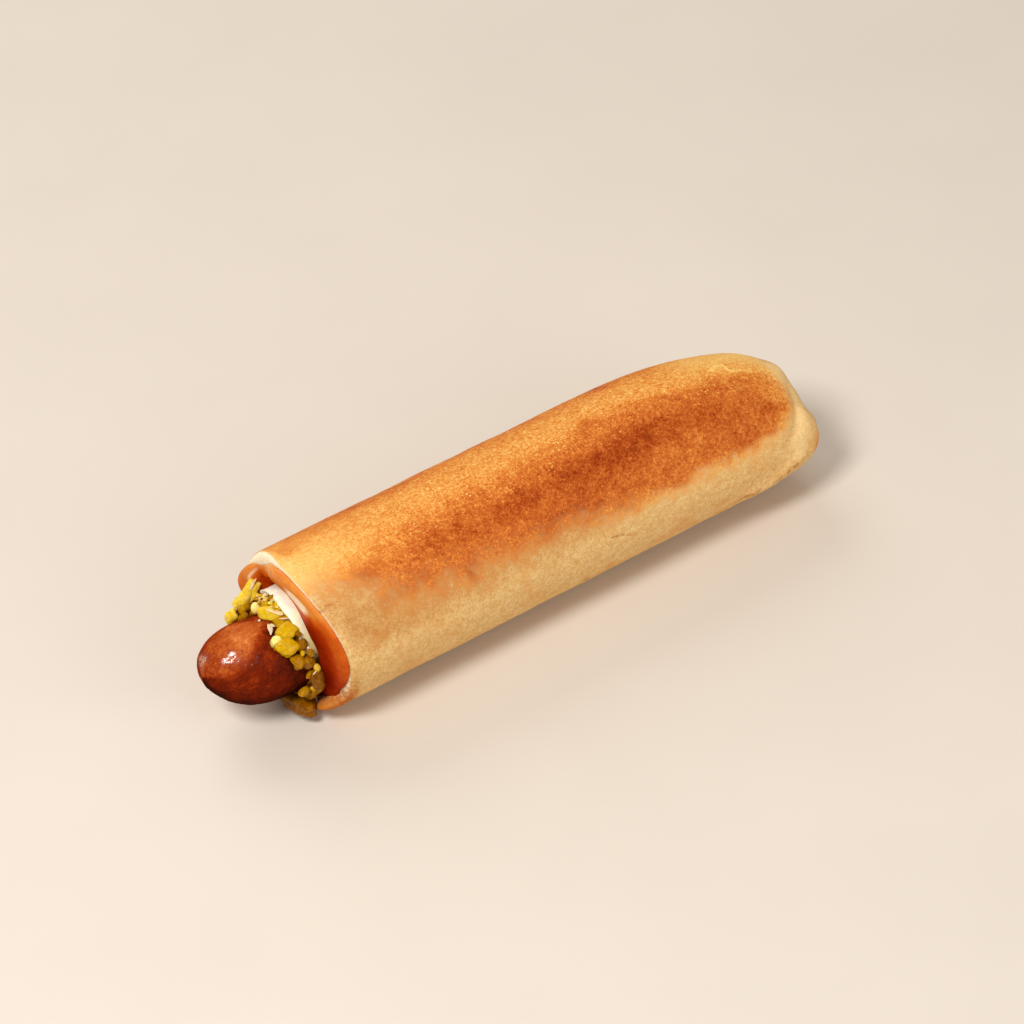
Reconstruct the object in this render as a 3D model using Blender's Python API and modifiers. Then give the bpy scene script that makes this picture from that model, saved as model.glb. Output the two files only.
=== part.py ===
"""A hot dog in a hollow baked roll: roll, sausage, relish and two dressings, in metres, +Z up.

The roll lies along X with its open mouth at -X. Every layer is measured from the mouth (along the
length) and round the roll or the sausage (an angle: 0 at +Y, a quarter turn at the top).
"""

import random

import bmesh
import bpy
import numpy as np
from mathutils import Matrix, Vector, noise

MM = 0.001

# The roll
ROLL_LENGTH = 172.3 * MM
ROLL_WIDTH = 51.4 * MM
ROLL_HEIGHT = 47.6 * MM
STRAIGHT_LENGTH = 114 * MM            # where the closed end starts to round off
END_BLUNTNESS = (1.77, 4.84, 0.55)    # how late, how bluntly and how widely it rounds
NOSE_DROP = 3.1 * MM                  # the nose lies below the middle and to one side
NOSE_SWING = 4.0 * MM
FLAT_UNDERSIDE = 0.95 * MM            # height lost where it was baked on a tray
CRUST_UNEVENNESS = 0.25 * MM
LUMP_SIZE = 16 * MM
NOSE_GROOVE = 0.8 * MM
SEAM_LIP = 0.9 * MM
RIM_ROUND = 2.2 * MM
DISH_DEPTH = 3.0 * MM                 # the cut face is dished from the rim to the tunnel
MOUTH_LEAN = -0.05                    # the cut is not square: it leans across the width
LEAN_FADE = 30 * MM

# The sausage
SAUSAGE_RADIUS = 12.3 * MM
SAUSAGE_SHOWS = 30.6 * MM             # how far its tip stands out of the mouth
SAUSAGE_INSIDE = 146 * MM
SAUSAGE_HEIGHT = 18.2 * MM            # of its axis above the floor
TIP_LENGTH = 16 * MM                  # the rounded end
TIP_LIFT = 3.3 * MM                   # the free end bends up and aside
TIP_SWING = 2.2 * MM
BENT_LENGTH = 35 * MM

# The tunnel that the fillings share
TUNNEL_CENTRE = (1.5 * MM, 20.8 * MM)
TUNNEL_RADII = (16.8 * MM, 17.8 * MM)
FILLED_LENGTH = 128 * MM              # the dressings and the relish run this far in
END_ROOM = 0.7 * MM                   # round the sausage's inner end

# The fillings
GAP = 0.35 * MM
RED_COAT = 1.2 * MM
CREAM_DEPTH = 4.0 * MM
CREAM_SPREAD = (33, 72, 154)          # start, crown and end, in degrees round the sausage
CREAM_BULGE = 2.6 * MM                # how far it stands out in front of the mouth
RELISH_REACH = 8.0 * MM               # how far its core stands out
RELISH_FEATHER = 0.8 * MM             # the core's thickness at its front edge

SIDES = 48
MERGE = 0.01 * MM
ANGLES = np.arange(SIDES) * 2 * np.pi / SIDES
INSIDE_STATIONS = (8 * MM, 24 * MM, FILLED_LENGTH / 2, FILLED_LENGTH)
MOUTH_X = SAUSAGE_SHOWS - (SAUSAGE_SHOWS + ROLL_LENGTH) / 2

# Chopped pickle in the heap: angle round the sausage in degrees, how far out of the mouth and how
# far off the sausage's skin its middle lies, its length, width and thickness, and its turn in degrees.
PIECES = (
    (28, 6.0, 6.7, 6.6, 5.4, 5.0, 20),
    (38, 5.4, 8.0, 6.0, 3.8, 3.6, 70),
    (29, 9.2, 3.4, 4.2, 3.6, 3.2, 0),
    (27, 13.0, 2.9, 5.0, 3.8, 3.6, 50),
    (54, 8.2, 1.9, 4.0, 3.0, 2.8, 30),
    (80, 6.6, 2.3, 8.4, 4.2, 3.8, 75),
    (48, 5.7, 2.2, 4.6, 3.2, 2.6, 10),
    (110, 6.2, 2.2, 4.6, 4.4, 4.0, 40),
    (107, 9.0, 1.3, 4.0, 2.2, 2.0, 80),
    (123, 11.4, 1.7, 3.4, 3.4, 3.2, 0),
    (133, 9.0, 2.6, 5.6, 5.0, 4.8, 25),
    (126, 5.6, 2.2, 6.0, 2.8, 2.8, 85),
    (151, 7.1, 2.1, 4.6, 4.2, 4.0, 60),
    (170, 3.4, 1.5, 3.2, 2.4, 2.4, 15),
    (191, 4.4, 1.9, 6.6, 4.0, 3.4, 85),
    (216, 4.6, 1.9, 5.0, 3.4, 3.0, 30),
    (236, 7.4, 3.4, 9.6, 6.6, 5.4, 65),
    (258, 5.2, 2.0, 5.4, 4.0, 3.4, 10),
    (283, 5.4, 1.9, 5.0, 3.6, 3.2, 75),
    (308, 6.6, 2.0, 5.6, 4.2, 3.6, 35),
    (333, 6.0, 2.2, 5.2, 4.4, 3.8, 55),
    (356, 7.6, 2.6, 6.0, 4.4, 4.0, 15),
    (12, 5.6, 3.4, 5.2, 4.2, 4.0, 65),
)
PIECE_ROUNDING = 0.3
PIECE_UNEVENNESS = 0.12


def bump(angle, centre, half_width):
    """A smooth hump, 1 at an angle in degrees and 0 beyond its half width, all in degrees."""
    away = (np.degrees(angle) - centre + 180) % 360 - 180
    return np.where(np.abs(away) < half_width, np.cos(away / half_width * np.pi / 2) ** 2, 0.0)


def ease(value, start, stop):
    """Rise smoothly from 0 at start to 1 at stop."""
    share = np.clip((value - start) / (stop - start), 0, 1)
    return share * share * (3 - 2 * share)


def sausage_axis(along):
    """Across and up of the sausage's axis: straight in the roll, bent towards its free tip."""
    bend = np.clip((BENT_LENGTH - SAUSAGE_SHOWS - along) / BENT_LENGTH, 0, 1) ** 2
    return TIP_SWING * bend, SAUSAGE_HEIGHT + TIP_LIFT * bend


def sausage_radius(along):
    """Full along the sausage, with an elliptical cap at each end."""
    from_end = np.minimum(along + SAUSAGE_SHOWS, SAUSAGE_INSIDE - along)
    share = np.clip(from_end / TIP_LENGTH, 0, 1)
    return SAUSAGE_RADIUS * np.sqrt(1 - (1 - share) ** 2)


def ring_on_sausage(along, clearance=0.0):
    """Points across and up, at a distance off the sausage's skin."""
    across, up = sausage_axis(along)
    radius = sausage_radius(along) + clearance
    return np.column_stack([across + radius * np.cos(ANGLES), up + radius * np.sin(ANGLES)])


def ring_on_tunnel():
    """Points across and up on the tunnel's wall, an ellipse that stands above the sausage's axis."""
    reach = np.column_stack([TUNNEL_RADII[0] * np.cos(ANGLES), TUNNEL_RADII[1] * np.sin(ANGLES)])
    return reach + TUNNEL_CENTRE


def ring_on_crust(along):
    """Points across and up on the roll's crust, from its mouth to its rounded nose."""
    late, blunt, wide = END_BLUNTNESS
    share = np.clip((along - STRAIGHT_LENGTH) / (ROLL_LENGTH - STRAIGHT_LENGTH), 0, 1)
    closing = (1 - share ** late) ** (1 / blunt)
    middle = ROLL_HEIGHT / 2 - NOSE_DROP * share ** 2
    across = ROLL_WIDTH / 2 * closing ** wide * np.cos(ANGLES) - NOSE_SWING * share ** 2
    up = middle + ROLL_HEIGHT / 2 * closing * np.sin(ANGLES)
    return np.column_stack([across, flatten_underside(up)])


def flatten_underside(up):
    """Press the lowest part of the crust onto the floor, and leave the sides as they are."""
    low = np.clip(1 - up / (ROLL_HEIGHT / 2), 0, 1) ** 4
    return np.maximum(up - FLAT_UNDERSIDE * low, 0)


def crust_relief(along):
    """How far the crust stands out: an uneven skin, the groove round the nose and the torn seam."""
    places = [Vector((along / LUMP_SIZE, 1.4 * np.cos(a), 1.4 * np.sin(a))) for a in ANGLES]
    uneven = CRUST_UNEVENNESS * np.array([noise.noise(place) for place in places])
    uneven *= ease(along, 4 * MM, 16 * MM) * ease(ROLL_LENGTH - along, 0, 3 * MM)
    sweep = np.clip((np.degrees(ANGLES) - 95) / 80, 0, 1.2) ** 2
    groove_at = ROLL_LENGTH - 2.5 * MM - 14 * MM * sweep
    groove = NOSE_GROOVE * np.exp(-((along - groove_at) / (2.5 * MM)) ** 2) * bump(ANGLES, 132, 62)
    seam_angle = 204 - 15 * ease(along, 146 * MM, 162 * MM)
    seam = SEAM_LIP * bump(ANGLES, seam_angle, 14) * ease(along, 134 * MM, 146 * MM)
    seam *= ease(ROLL_LENGTH - along, 6 * MM, 14 * MM)
    return uneven - groove + seam


def place(along, points):
    """World points of a ring; the leaning mouth shifts it along the length, less and less further in."""
    lean = MOUTH_LEAN * np.clip(1 - np.maximum(along, 0) / LEAN_FADE, 0, 1)
    return np.column_stack([MOUTH_X + along + lean * points[:, 0], points])


def lengths(vectors):
    return np.linalg.norm(vectors, axis=1)


def bread_wall():
    """The bread's thickness round the tunnel, at each angle."""
    return lengths(ring_on_tunnel() - ring_on_crust(0.0))


def filling_room():
    """The room between the tunnel's wall and the sausage, at each angle."""
    return lengths(ring_on_tunnel() - ring_on_sausage(FILLED_LENGTH))


def under_crust(depth):
    """Points at a depth below the mouth's crust: through the bread, then on towards the sausage."""
    crust = ring_on_crust(0.0)
    wall = ring_on_tunnel()
    to_wall = (wall - crust) / bread_wall()[:, None]
    to_skin = (ring_on_sausage(FILLED_LENGTH) - wall) / filling_room()[:, None]
    in_bread = np.minimum(depth, bread_wall())[:, None]
    in_filling = np.maximum(depth - bread_wall(), 0)[:, None]
    return crust + to_wall * in_bread + to_skin * in_filling


def off_sausage(along, height):
    """Points at a height off the sausage's skin, towards the tunnel's wall."""
    to_wall = (ring_on_tunnel() - ring_on_sausage(FILLED_LENGTH)) / filling_room()[:, None]
    return ring_on_sausage(along) + to_wall * (height * np.ones(SIDES))[:, None]


def mouth_ring(turn, lift):
    """A ring on the cut face: turn runs from -90 on the crust, through 0 on the rim, to 90 in the tunnel."""
    turn = np.radians(turn) * np.ones(SIDES)
    on_rim = turn < 0
    reach_along = np.where(on_rim, RIM_ROUND, DISH_DEPTH)
    reach_across = np.where(on_rim, RIM_ROUND, bread_wall() - RIM_ROUND)
    along = reach_along - (reach_along + lift) * np.cos(turn)
    depth = RIM_ROUND + (reach_across + lift) * np.sin(turn)
    return place(along, under_crust(depth))


def tunnel_ring(along, lift):
    """A ring inside the tunnel, at a distance off its wall."""
    return place(along, under_crust(bread_wall() + lift))


def crust_ring(along):
    """A ring of the roll's outside with its relief; its lowest points stay on the floor."""
    plain = ring_on_crust(along)
    outward = plain - plain.mean(axis=0)
    shaped = plain + outward * (crust_relief(along) / lengths(outward))[:, None]
    shaped[:, 1] = np.where(plain[:, 1] > 0, np.maximum(shaped[:, 1], 0), 0)
    return place(along, shaped)


def loft(rings, closed=False):
    """Skin rings of equal length, and either cap the first and the last or join them to each other."""
    mesh = bmesh.new()
    rows = [[mesh.verts.new(point) for point in ring] for ring in rings]
    for near, far in zip(rows, rows[1:] + rows[:1] if closed else rows[1:]):
        for i in range(len(near)):
            mesh.faces.new((near[i - 1], near[i], far[i], far[i - 1]))
    if not closed:
        mesh.faces.new(rows[0])
        mesh.faces.new(rows[-1])
    return mesh


def draw_to_point(mesh, point):
    """Draw the middle of the nearest cap out to a point."""
    caps = [face for face in mesh.faces if len(face.verts) > 4]
    cap = min(caps, key=lambda face: (face.calc_center_median() - point).length)
    bmesh.ops.poke(mesh, faces=[cap])["verts"][0].co = point


def finish(mesh, name, colour, roughness):
    """Turn a bmesh into a smooth, outward-facing object with its own material."""
    bmesh.ops.recalc_face_normals(mesh, faces=mesh.faces)
    data = bpy.data.meshes.new(name)
    mesh.to_mesh(data)
    mesh.free()
    data.shade_smooth()
    thing = bpy.data.objects.new(name, data)
    material = bpy.data.materials.new(name)
    material.use_nodes = True
    shader = material.node_tree.nodes["Principled BSDF"]
    shader.inputs["Base Color"].default_value = (*colour, 1)
    shader.inputs["Roughness"].default_value = roughness
    data.materials.append(material)
    return thing


def steps(start, stop, count):
    """Stations from start to stop, closer together towards stop, for a rounded end."""
    return start + (stop - start) * np.sin(np.linspace(0, np.pi / 2, count))


def make_roll():
    """The tunnel from its blind end, the dished cut face, the rim, and the crust to the nose."""
    blind = steps(FILLED_LENGTH + 2 * MM, SAUSAGE_INSIDE, 7)[:-1][::-1]
    rings = [place(along, ring_on_sausage(along, END_ROOM)) for along in blind]
    rings += [tunnel_ring(along, 0) for along in INSIDE_STATIONS[::-1]]
    rings += [mouth_ring(turn, 0) for turn in (90, 70, 50, 30, 12, 0, -22, -45, -68)]
    rings += [crust_ring(along) for along in np.linspace(RIM_ROUND, STRAIGHT_LENGTH, 12)]
    rings += [crust_ring(along) for along in steps(STRAIGHT_LENGTH, ROLL_LENGTH, 24)[1:-1]]
    blind_end = Vector((MOUTH_X + SAUSAGE_INSIDE + END_ROOM, 0, SAUSAGE_HEIGHT))
    nose = Vector((MOUTH_X + ROLL_LENGTH, -NOSE_SWING, ROLL_HEIGHT / 2 - NOSE_DROP))
    mesh = loft(rings)
    for point in (blind_end, nose):
        draw_to_point(mesh, point)
    return finish(mesh, "bun", (0.62, 0.33, 0.11), 0.6)


def sausage_outline(clearance):
    """Along and radius from tip to end: an elliptical cap, the straight skin and the other cap."""
    turns = np.linspace(0, np.pi / 2, 9)
    cap_length = (TIP_LENGTH + clearance) * np.cos(turns)
    cap_radius = (SAUSAGE_RADIUS + clearance) * np.sin(turns)
    tip = zip(TIP_LENGTH - SAUSAGE_SHOWS - cap_length, cap_radius)
    bent = [(along, SAUSAGE_RADIUS + clearance) for along in np.linspace(-10 * MM, 6 * MM, 4)]
    end = zip(SAUSAGE_INSIDE - TIP_LENGTH + cap_length, cap_radius)
    return [*tip, *bent, *list(end)[::-1]]


def turned_sausage(clearance=0.0):
    """A turned capsule, bent up and aside at its free end; a clearance makes it fatter all over."""
    outline = [(along, 0, radius) for along, radius in sausage_outline(clearance)]
    profile = bpy.data.meshes.new("sausage_profile")
    profile.from_pydata(outline, [(i, i + 1) for i in range(len(outline) - 1)], [])
    turned = bpy.data.objects.new("sausage_turned", profile)
    bpy.context.scene.collection.objects.link(turned)
    screw = turned.modifiers.new("turn", "SCREW")
    screw.axis = "X"
    screw.steps = screw.render_steps = SIDES
    screw.use_merge_vertices = True
    screw.merge_threshold = MERGE
    bpy.context.view_layer.update()
    mesh = bmesh.new()
    mesh.from_object(turned, bpy.context.evaluated_depsgraph_get())
    bpy.data.objects.remove(turned)
    bmesh.ops.remove_doubles(mesh, verts=mesh.verts, dist=MERGE)
    for vertex in mesh.verts:
        across, up = sausage_axis(vertex.co.x)
        vertex.co += Vector((MOUTH_X, across, up))
    return mesh


def make_sausage():
    return finish(turned_sausage(), "sausage", (0.33, 0.06, 0.02), 0.35)


def coat_edge():
    """Where on the rim the red dressing stops: short of it at the top, over it at the sides."""
    return 6 + 12 * bump(ANGLES, 95, 50) - 60 * bump(ANGLES, 172, 36) - 45 * bump(ANGLES, 20, 24)


def coat_thickness(share):
    """A rounded edge, then a bead, then an even coat; thickest where it lobes over the rim."""
    lobe = 1 + 0.6 * bump(ANGLES, 20, 24)
    rounded = np.sqrt(1 - (1 - np.clip(share / 0.25, 0, 1)) ** 2)
    bead = 1 + 0.45 * np.exp(-((share - 0.25) / 0.2) ** 2)
    return RED_COAT * rounded * (1 + (bead * lobe - 1) * (1 - ease(share, 0.5, 1.0)))


def make_red_dressing():
    """A coat on the dished cut face that runs on as a sleeve along the tunnel."""
    edge = coat_edge()
    shares = (0, 0.03, 0.1, 0.25, 0.45, 0.65, 0.85, 1.0)
    turns = [edge + (90 - edge) * share for share in shares]
    back = [mouth_ring(turn, GAP) for turn in turns]
    back += [tunnel_ring(along, GAP) for along in INSIDE_STATIONS]
    front = [mouth_ring(turn, GAP + coat_thickness(share)) for turn, share in zip(turns, shares)][1:]
    front += [tunnel_ring(along, GAP + RED_COAT) for along in INSIDE_STATIONS]
    return finish(loft(back + front[::-1], closed=True), "red_dressing", (0.5, 0.08, 0.01), 0.2)


def cream_depth(widen=0.0):
    """Depth of the cream's crescent at each angle, or of the wider trough that holds it."""
    start, crown, end = CREAM_SPREAD
    past_crown = np.degrees(ANGLES) - crown
    side = np.where(past_crown < 0, crown - start, end - crown) + widen
    share = np.clip(np.abs(past_crown) / side, 0, 1)
    return CREAM_DEPTH * np.where(past_crown < 0, np.sqrt(1 - share ** 2), 1 - share ** 1.6)


def make_cream_dressing():
    """A ribbon with a crescent section, between the red dressing and the relish."""
    depth = cream_depth()
    used = np.flatnonzero(depth > 0)
    middle = bread_wall() + GAP + RED_COAT + GAP + depth / 2
    turns = np.radians((72, 54, 30, 8))
    stations = [(-CREAM_BULGE * np.sin(turn), np.cos(turn)) for turn in turns]
    stations += [(along, 1) for along in INSIDE_STATIONS]
    rings = []
    for along, fullness in stations:
        outer = place(along, under_crust(middle - depth / 2 * fullness))[used]
        inner = place(along, under_crust(middle + depth / 2 * fullness))[used]
        rings.append(np.concatenate([outer, inner[::-1]]))
    return finish(loft(rings), "cream_dressing", (0.9, 0.75, 0.5), 0.3)


def relish_core():
    """A sleeve round the sausage that fills the tunnel and swells out of the mouth."""
    trough = np.where(cream_depth(6.0) > 0, cream_depth(6.0) + GAP, 0)
    height = filling_room() - GAP - RED_COAT - GAP - trough
    reach = RELISH_REACH * (1 + 0.5 * bump(ANGLES, 30, 60) + 0.25 * bump(ANGLES, 230, 40))
    inner = [place(along, off_sausage(along, 0)) for along in INSIDE_STATIONS[::-1]]
    outer = [place(along, off_sausage(along, height)) for along in INSIDE_STATIONS[::-1]]
    edge = GAP + RELISH_FEATHER
    for turn in np.radians((0, 18, 38, 60, 90)):
        along = -reach * np.sin(turn)
        inner.append(place(along, off_sausage(along, 0)))
        outer.append(place(along, off_sausage(along, edge + (height - edge) * np.cos(turn))))
    return loft(inner + outer[::-1], closed=True)


def chopped_piece(size, chance):
    """A block of pickle with chamfered edges, pushed a little out of true."""
    mesh = bmesh.new()
    bmesh.ops.create_cube(mesh, size=1.0)
    bmesh.ops.bevel(mesh, geom=mesh.edges, offset=PIECE_ROUNDING, segments=1, affect="EDGES")
    for vertex in mesh.verts:
        push = [1 + chance.uniform(-PIECE_UNEVENNESS, PIECE_UNEVENNESS) for _ in size]
        vertex.co = Vector([co * side * more for co, side, more in zip(vertex.co, size, push)])
    return mesh


def lie_on_sausage(angle, out, off, turn):
    """A piece's place: out of the mouth and off the skin, flat to the skin and turned about that."""
    across, up = sausage_axis(-out)
    outward = Vector((0, np.cos(np.radians(angle)), np.sin(np.radians(angle))))
    middle = Vector((MOUTH_X - out, across, up)) + outward * (SAUSAGE_RADIUS + off)
    middle.x += MOUTH_LEAN * middle.y
    lie = outward.to_track_quat("Z", "X").to_matrix().to_4x4()
    return Matrix.Translation(middle) @ lie @ Matrix.Rotation(np.radians(turn), 4, "Z")


def make_pieces():
    """The chopped pieces, in a collection of their own."""
    pieces = bpy.data.collections.new("pieces")
    chance = random.Random(7)
    for number, (angle, out, off, length, width, thickness, turn) in enumerate(PIECES):
        mesh = chopped_piece((length * MM, width * MM, thickness * MM), chance)
        bmesh.ops.transform(mesh, matrix=lie_on_sausage(angle, out * MM, off * MM, turn), verts=mesh.verts)
        pieces.objects.link(finish(mesh, f"piece_{number}", (0.5, 0.4, 0.03), 0.3))
    return pieces


def make_relish():
    """The core with the chopped pieces fused on, then cut clear of the sausage's skin."""
    heap = finish(relish_core(), "relish", (0.45, 0.36, 0.03), 0.25)
    pieces = make_pieces()
    room = finish(turned_sausage(GAP), "room for the sausage", (1, 1, 1), 0.5)
    for extra in (heap, room):
        bpy.context.scene.collection.objects.link(extra)
    bpy.context.scene.collection.children.link(pieces)
    fuse = heap.modifiers.new("fuse", "BOOLEAN")
    fuse.operation = "UNION"
    fuse.operand_type = "COLLECTION"
    fuse.collection = pieces
    cut = heap.modifiers.new("cut", "BOOLEAN")
    cut.operation = "DIFFERENCE"
    cut.object = room
    bpy.context.view_layer.update()
    shaped = heap.evaluated_get(bpy.context.evaluated_depsgraph_get())
    heap.data = bpy.data.meshes.new_from_object(shaped)
    heap.modifiers.clear()
    for used in [*pieces.objects, room]:
        bpy.data.objects.remove(used)
    bpy.data.collections.remove(pieces)
    bpy.context.scene.collection.objects.unlink(heap)
    return heap


def main():
    for thing in list(bpy.data.objects):
        bpy.data.objects.remove(thing)
    parts = bpy.data.collections.new("hot dog")
    bpy.context.scene.collection.children.link(parts)
    for make in (make_roll, make_sausage, make_red_dressing, make_cream_dressing, make_relish):
        parts.objects.link(make())


main()
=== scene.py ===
"""The looks of a hot dog in a hollow baked roll, on a plain pale floor.

The roll lies along X with its open mouth at -X. Places on it are given along its length from the
mouth and by an angle round it: 0 at +Y, a quarter turn at the top, a half turn at -Y.
"""

import random
from types import SimpleNamespace

import bmesh
import bpy
import numpy as np
from mathutils import Matrix, Vector, noise


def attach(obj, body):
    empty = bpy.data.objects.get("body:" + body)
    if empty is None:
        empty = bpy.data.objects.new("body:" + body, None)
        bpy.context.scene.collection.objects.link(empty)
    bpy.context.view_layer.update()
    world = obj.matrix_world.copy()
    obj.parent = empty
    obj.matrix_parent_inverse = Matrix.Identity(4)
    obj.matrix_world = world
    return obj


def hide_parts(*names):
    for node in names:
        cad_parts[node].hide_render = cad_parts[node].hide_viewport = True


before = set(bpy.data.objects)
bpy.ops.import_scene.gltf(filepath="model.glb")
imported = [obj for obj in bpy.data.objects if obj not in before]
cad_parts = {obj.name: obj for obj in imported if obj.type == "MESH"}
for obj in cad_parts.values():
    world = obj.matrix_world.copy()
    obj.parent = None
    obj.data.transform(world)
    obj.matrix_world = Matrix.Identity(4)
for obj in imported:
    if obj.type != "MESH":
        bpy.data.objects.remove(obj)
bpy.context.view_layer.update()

MM = 0.001

# The roll; its end is given by how late it closes, how blunt it is, and how little it narrows across
ROLL_LENGTH = 172.3 * MM
ROLL_WIDTH = 51.4 * MM
ROLL_HEIGHT = 47.6 * MM
STRAIGHT_LENGTH = 114 * MM
END_BLUNTNESS = (1.77, 4.84, 0.55)
NOSE_DROP = 3.1 * MM
NOSE_SWING = 4.0 * MM
FLAT_UNDERSIDE = 0.95 * MM
CRUST_UNEVENNESS = 0.25 * MM
LUMP_SIZE = 16 * MM
NOSE_GROOVE = 1.3 * MM
NOSE_SHOULDER = 1.1 * MM
NOSE_SHOULDER_AT = 169.4 * MM
SEAM_LIP = 1.1 * MM
CRUST_STEP = 0.65 * MM

# The mouth: its rim, its dished cut face, how far it leans along for each metre across, how far inside
# that fades, its swell, and the torn lip that hangs forward
RIM_ROUND = 2.2 * MM
DISH_DEPTH = 3.0 * MM
MOUTH_LEAN = -0.05
LEAN_FADE = 30 * MM
MOUTH_SWELL = 2.4 * MM
LIP_HANG = 4.6 * MM
LIP_REACH = 3.6 * MM

# The sausage; its pucker is given by its place along and its angle round
SAUSAGE_RADIUS = 12.3 * MM
SAUSAGE_SHOWS = 30.6 * MM
SAUSAGE_INSIDE = 146 * MM
SAUSAGE_HEIGHT = 18.2 * MM
TIP_LENGTH = 16 * MM
TIP_LIFT = 3.3 * MM
TIP_SWING = 2.2 * MM
BENT_LENGTH = 35 * MM
PUCKER = (-28.6 * MM, np.radians(70))

# The tunnel and its fillings: the least and the most that the red coat fills the dish, how far the
# relish stays off it on the near side, and the relish's pulp
TUNNEL_CENTRE = (1.5 * MM, 20.8 * MM)
TUNNEL_RADII = (16.8 * MM, 17.8 * MM)
FILLED_LENGTH = 128 * MM
END_ROOM = 0.7 * MM
GAP = 0.35 * MM
RED_COAT = 1.2 * MM
DISH_FILL = (0.2 * MM, 4.0 * MM)
HOLLOW = 1.2 * MM
PULP_OFF_SKIN = 0.3 * MM
PULP_EDGE = 0.6 * MM
PULP_REACH = 5.4 * MM

# The cream: the degrees at which it starts, is deepest and ends, and those over which its start rounds
# off; how far it bulges out, its tail slides on and its start folds back
CREAM_DEPTH = 2.9 * MM
CREAM_SPREAD = (23, 70, 165)
CREAM_START = (28, 48)
CREAM_BULGE = 2.6 * MM
CREAM_SLIDE = 2.8 * MM
CREAM_FOLD = 1.5 * MM
CREAM_SLANT = 1.2

# The meshes run round by these angles; the filled tunnel needs few stations.
SIDES = 300
ANGLES = np.arange(SIDES) * 2 * np.pi / SIDES
DEGREES = np.degrees(ANGLES)
INSIDE_STATIONS = (8 * MM, 24 * MM, FILLED_LENGTH / 2, FILLED_LENGTH)
MOUTH_X = SAUSAGE_SHOWS - (SAUSAGE_SHOWS + ROLL_LENGTH) / 2

# The camera, as the photograph was taken
LENS = 155.57
SENSOR = 36
CAMERA_AT = Vector((MOUTH_X - 0.44772, -0.82614, 0.86327))
CAMERA_RIGHT = Vector((0.8182, -0.5724, -0.05392))
CAMERA_UP = Vector((0.40653, 0.50968, 0.75826))


# ---------------------------------------------------------------- shapes

def bump(degrees, centre, half_width):
    """A smooth hump over angles in degrees: 1 at its centre, 0 beyond its half width."""
    away = (degrees - centre + 180) % 360 - 180
    return np.where(np.abs(away) < half_width, np.cos(away / half_width * np.pi / 2) ** 2, 0.0)


def ease(value, start, stop):
    """Rise smoothly from 0 at start to 1 at stop."""
    share = np.clip((value - start) / (stop - start), 0, 1)
    return share * share * (3 - 2 * share)


def spot(along, degrees, centre, half_size, power=1.0):
    """1 at a place along (mm) and round (degrees), falling off over its half sizes, 1 to 0.37."""
    far_along = (along - centre[0]) / half_size[0]
    far_round = (degrees - centre[1]) / half_size[1]
    return np.exp(-((far_along ** 2 + far_round ** 2) ** power))


def band(value, middle, half_width):
    """1 in the middle of a band, falling off to either side, to 0.37 at its half width."""
    return np.exp(-(((value - middle) / half_width) ** 2))


def lengths(vectors):
    return np.linalg.norm(vectors, axis=-1)


def grain(points, size, octaves=3, shift=0.0):
    """Fractal noise, about -1 to 1, whose lumps are as wide as the size; one value for each point."""
    scaled = (points / size + shift).reshape(-1, 3)
    values = [noise.fractal(Vector(point), 0.9, 2.1, octaves) for point in scaled.tolist()]
    return np.array(values).reshape(points.shape[:-1])


def sausage_axis(along):
    """Across and up of the sausage's axis: straight in the roll, bent towards its free tip."""
    bend = np.clip((BENT_LENGTH - SAUSAGE_SHOWS - along) / BENT_LENGTH, 0, 1) ** 2
    return TIP_SWING * bend, SAUSAGE_HEIGHT + TIP_LIFT * bend


def sausage_radius(along):
    """Full along the sausage, with an elliptical cap at each end."""
    from_end = np.minimum(along + SAUSAGE_SHOWS, SAUSAGE_INSIDE - along)
    share = np.clip(from_end / TIP_LENGTH, 0, 1)
    return SAUSAGE_RADIUS * np.sqrt(1 - (1 - share) ** 2)


def ring_on_sausage(along, clearance=0.0):
    across, up = sausage_axis(along)
    radius = sausage_radius(along) + clearance
    return np.column_stack([across + radius * np.cos(ANGLES), up + radius * np.sin(ANGLES)])


def ring_on_tunnel():
    reach = np.column_stack([TUNNEL_RADII[0] * np.cos(ANGLES), TUNNEL_RADII[1] * np.sin(ANGLES)])
    return reach + TUNNEL_CENTRE


def flatten_underside(up):
    """Press the lowest part of the crust onto the floor, and leave the sides as they are."""
    low = np.clip(1 - up / (ROLL_HEIGHT / 2), 0, 1) ** 4
    return np.maximum(up - FLAT_UNDERSIDE * low, 0)


def ring_on_crust(along):
    """Points across and up on the roll's crust, from its mouth to its rounded nose."""
    late, blunt, wide = END_BLUNTNESS
    share = np.clip((along - STRAIGHT_LENGTH) / (ROLL_LENGTH - STRAIGHT_LENGTH), 0, 1)
    closing = (1 - share ** late) ** (1 / blunt)
    middle = ROLL_HEIGHT / 2 - NOSE_DROP * share ** 2
    across = ROLL_WIDTH / 2 * closing ** wide * np.cos(ANGLES) - NOSE_SWING * share ** 2
    up = middle + ROLL_HEIGHT / 2 * closing * np.sin(ANGLES)
    return np.column_stack([across, flatten_underside(up)])


def place(along, points):
    """World points of a ring; the leaning mouth, which stands out at the top of its near side, shifts
    it along the length, less further in."""
    fade = np.clip(1 - np.maximum(along, 0) / LEAN_FADE, 0, 1)
    lean = MOUTH_LEAN * points[:, 0] - MOUTH_SWELL * bump(DEGREES, 104, 58)
    return np.column_stack([MOUTH_X + along + fade * lean, points])


BREAD_WALL = lengths(ring_on_tunnel() - ring_on_crust(0.0))
FILLING_ROOM = lengths(ring_on_tunnel() - ring_on_sausage(FILLED_LENGTH))


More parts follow.
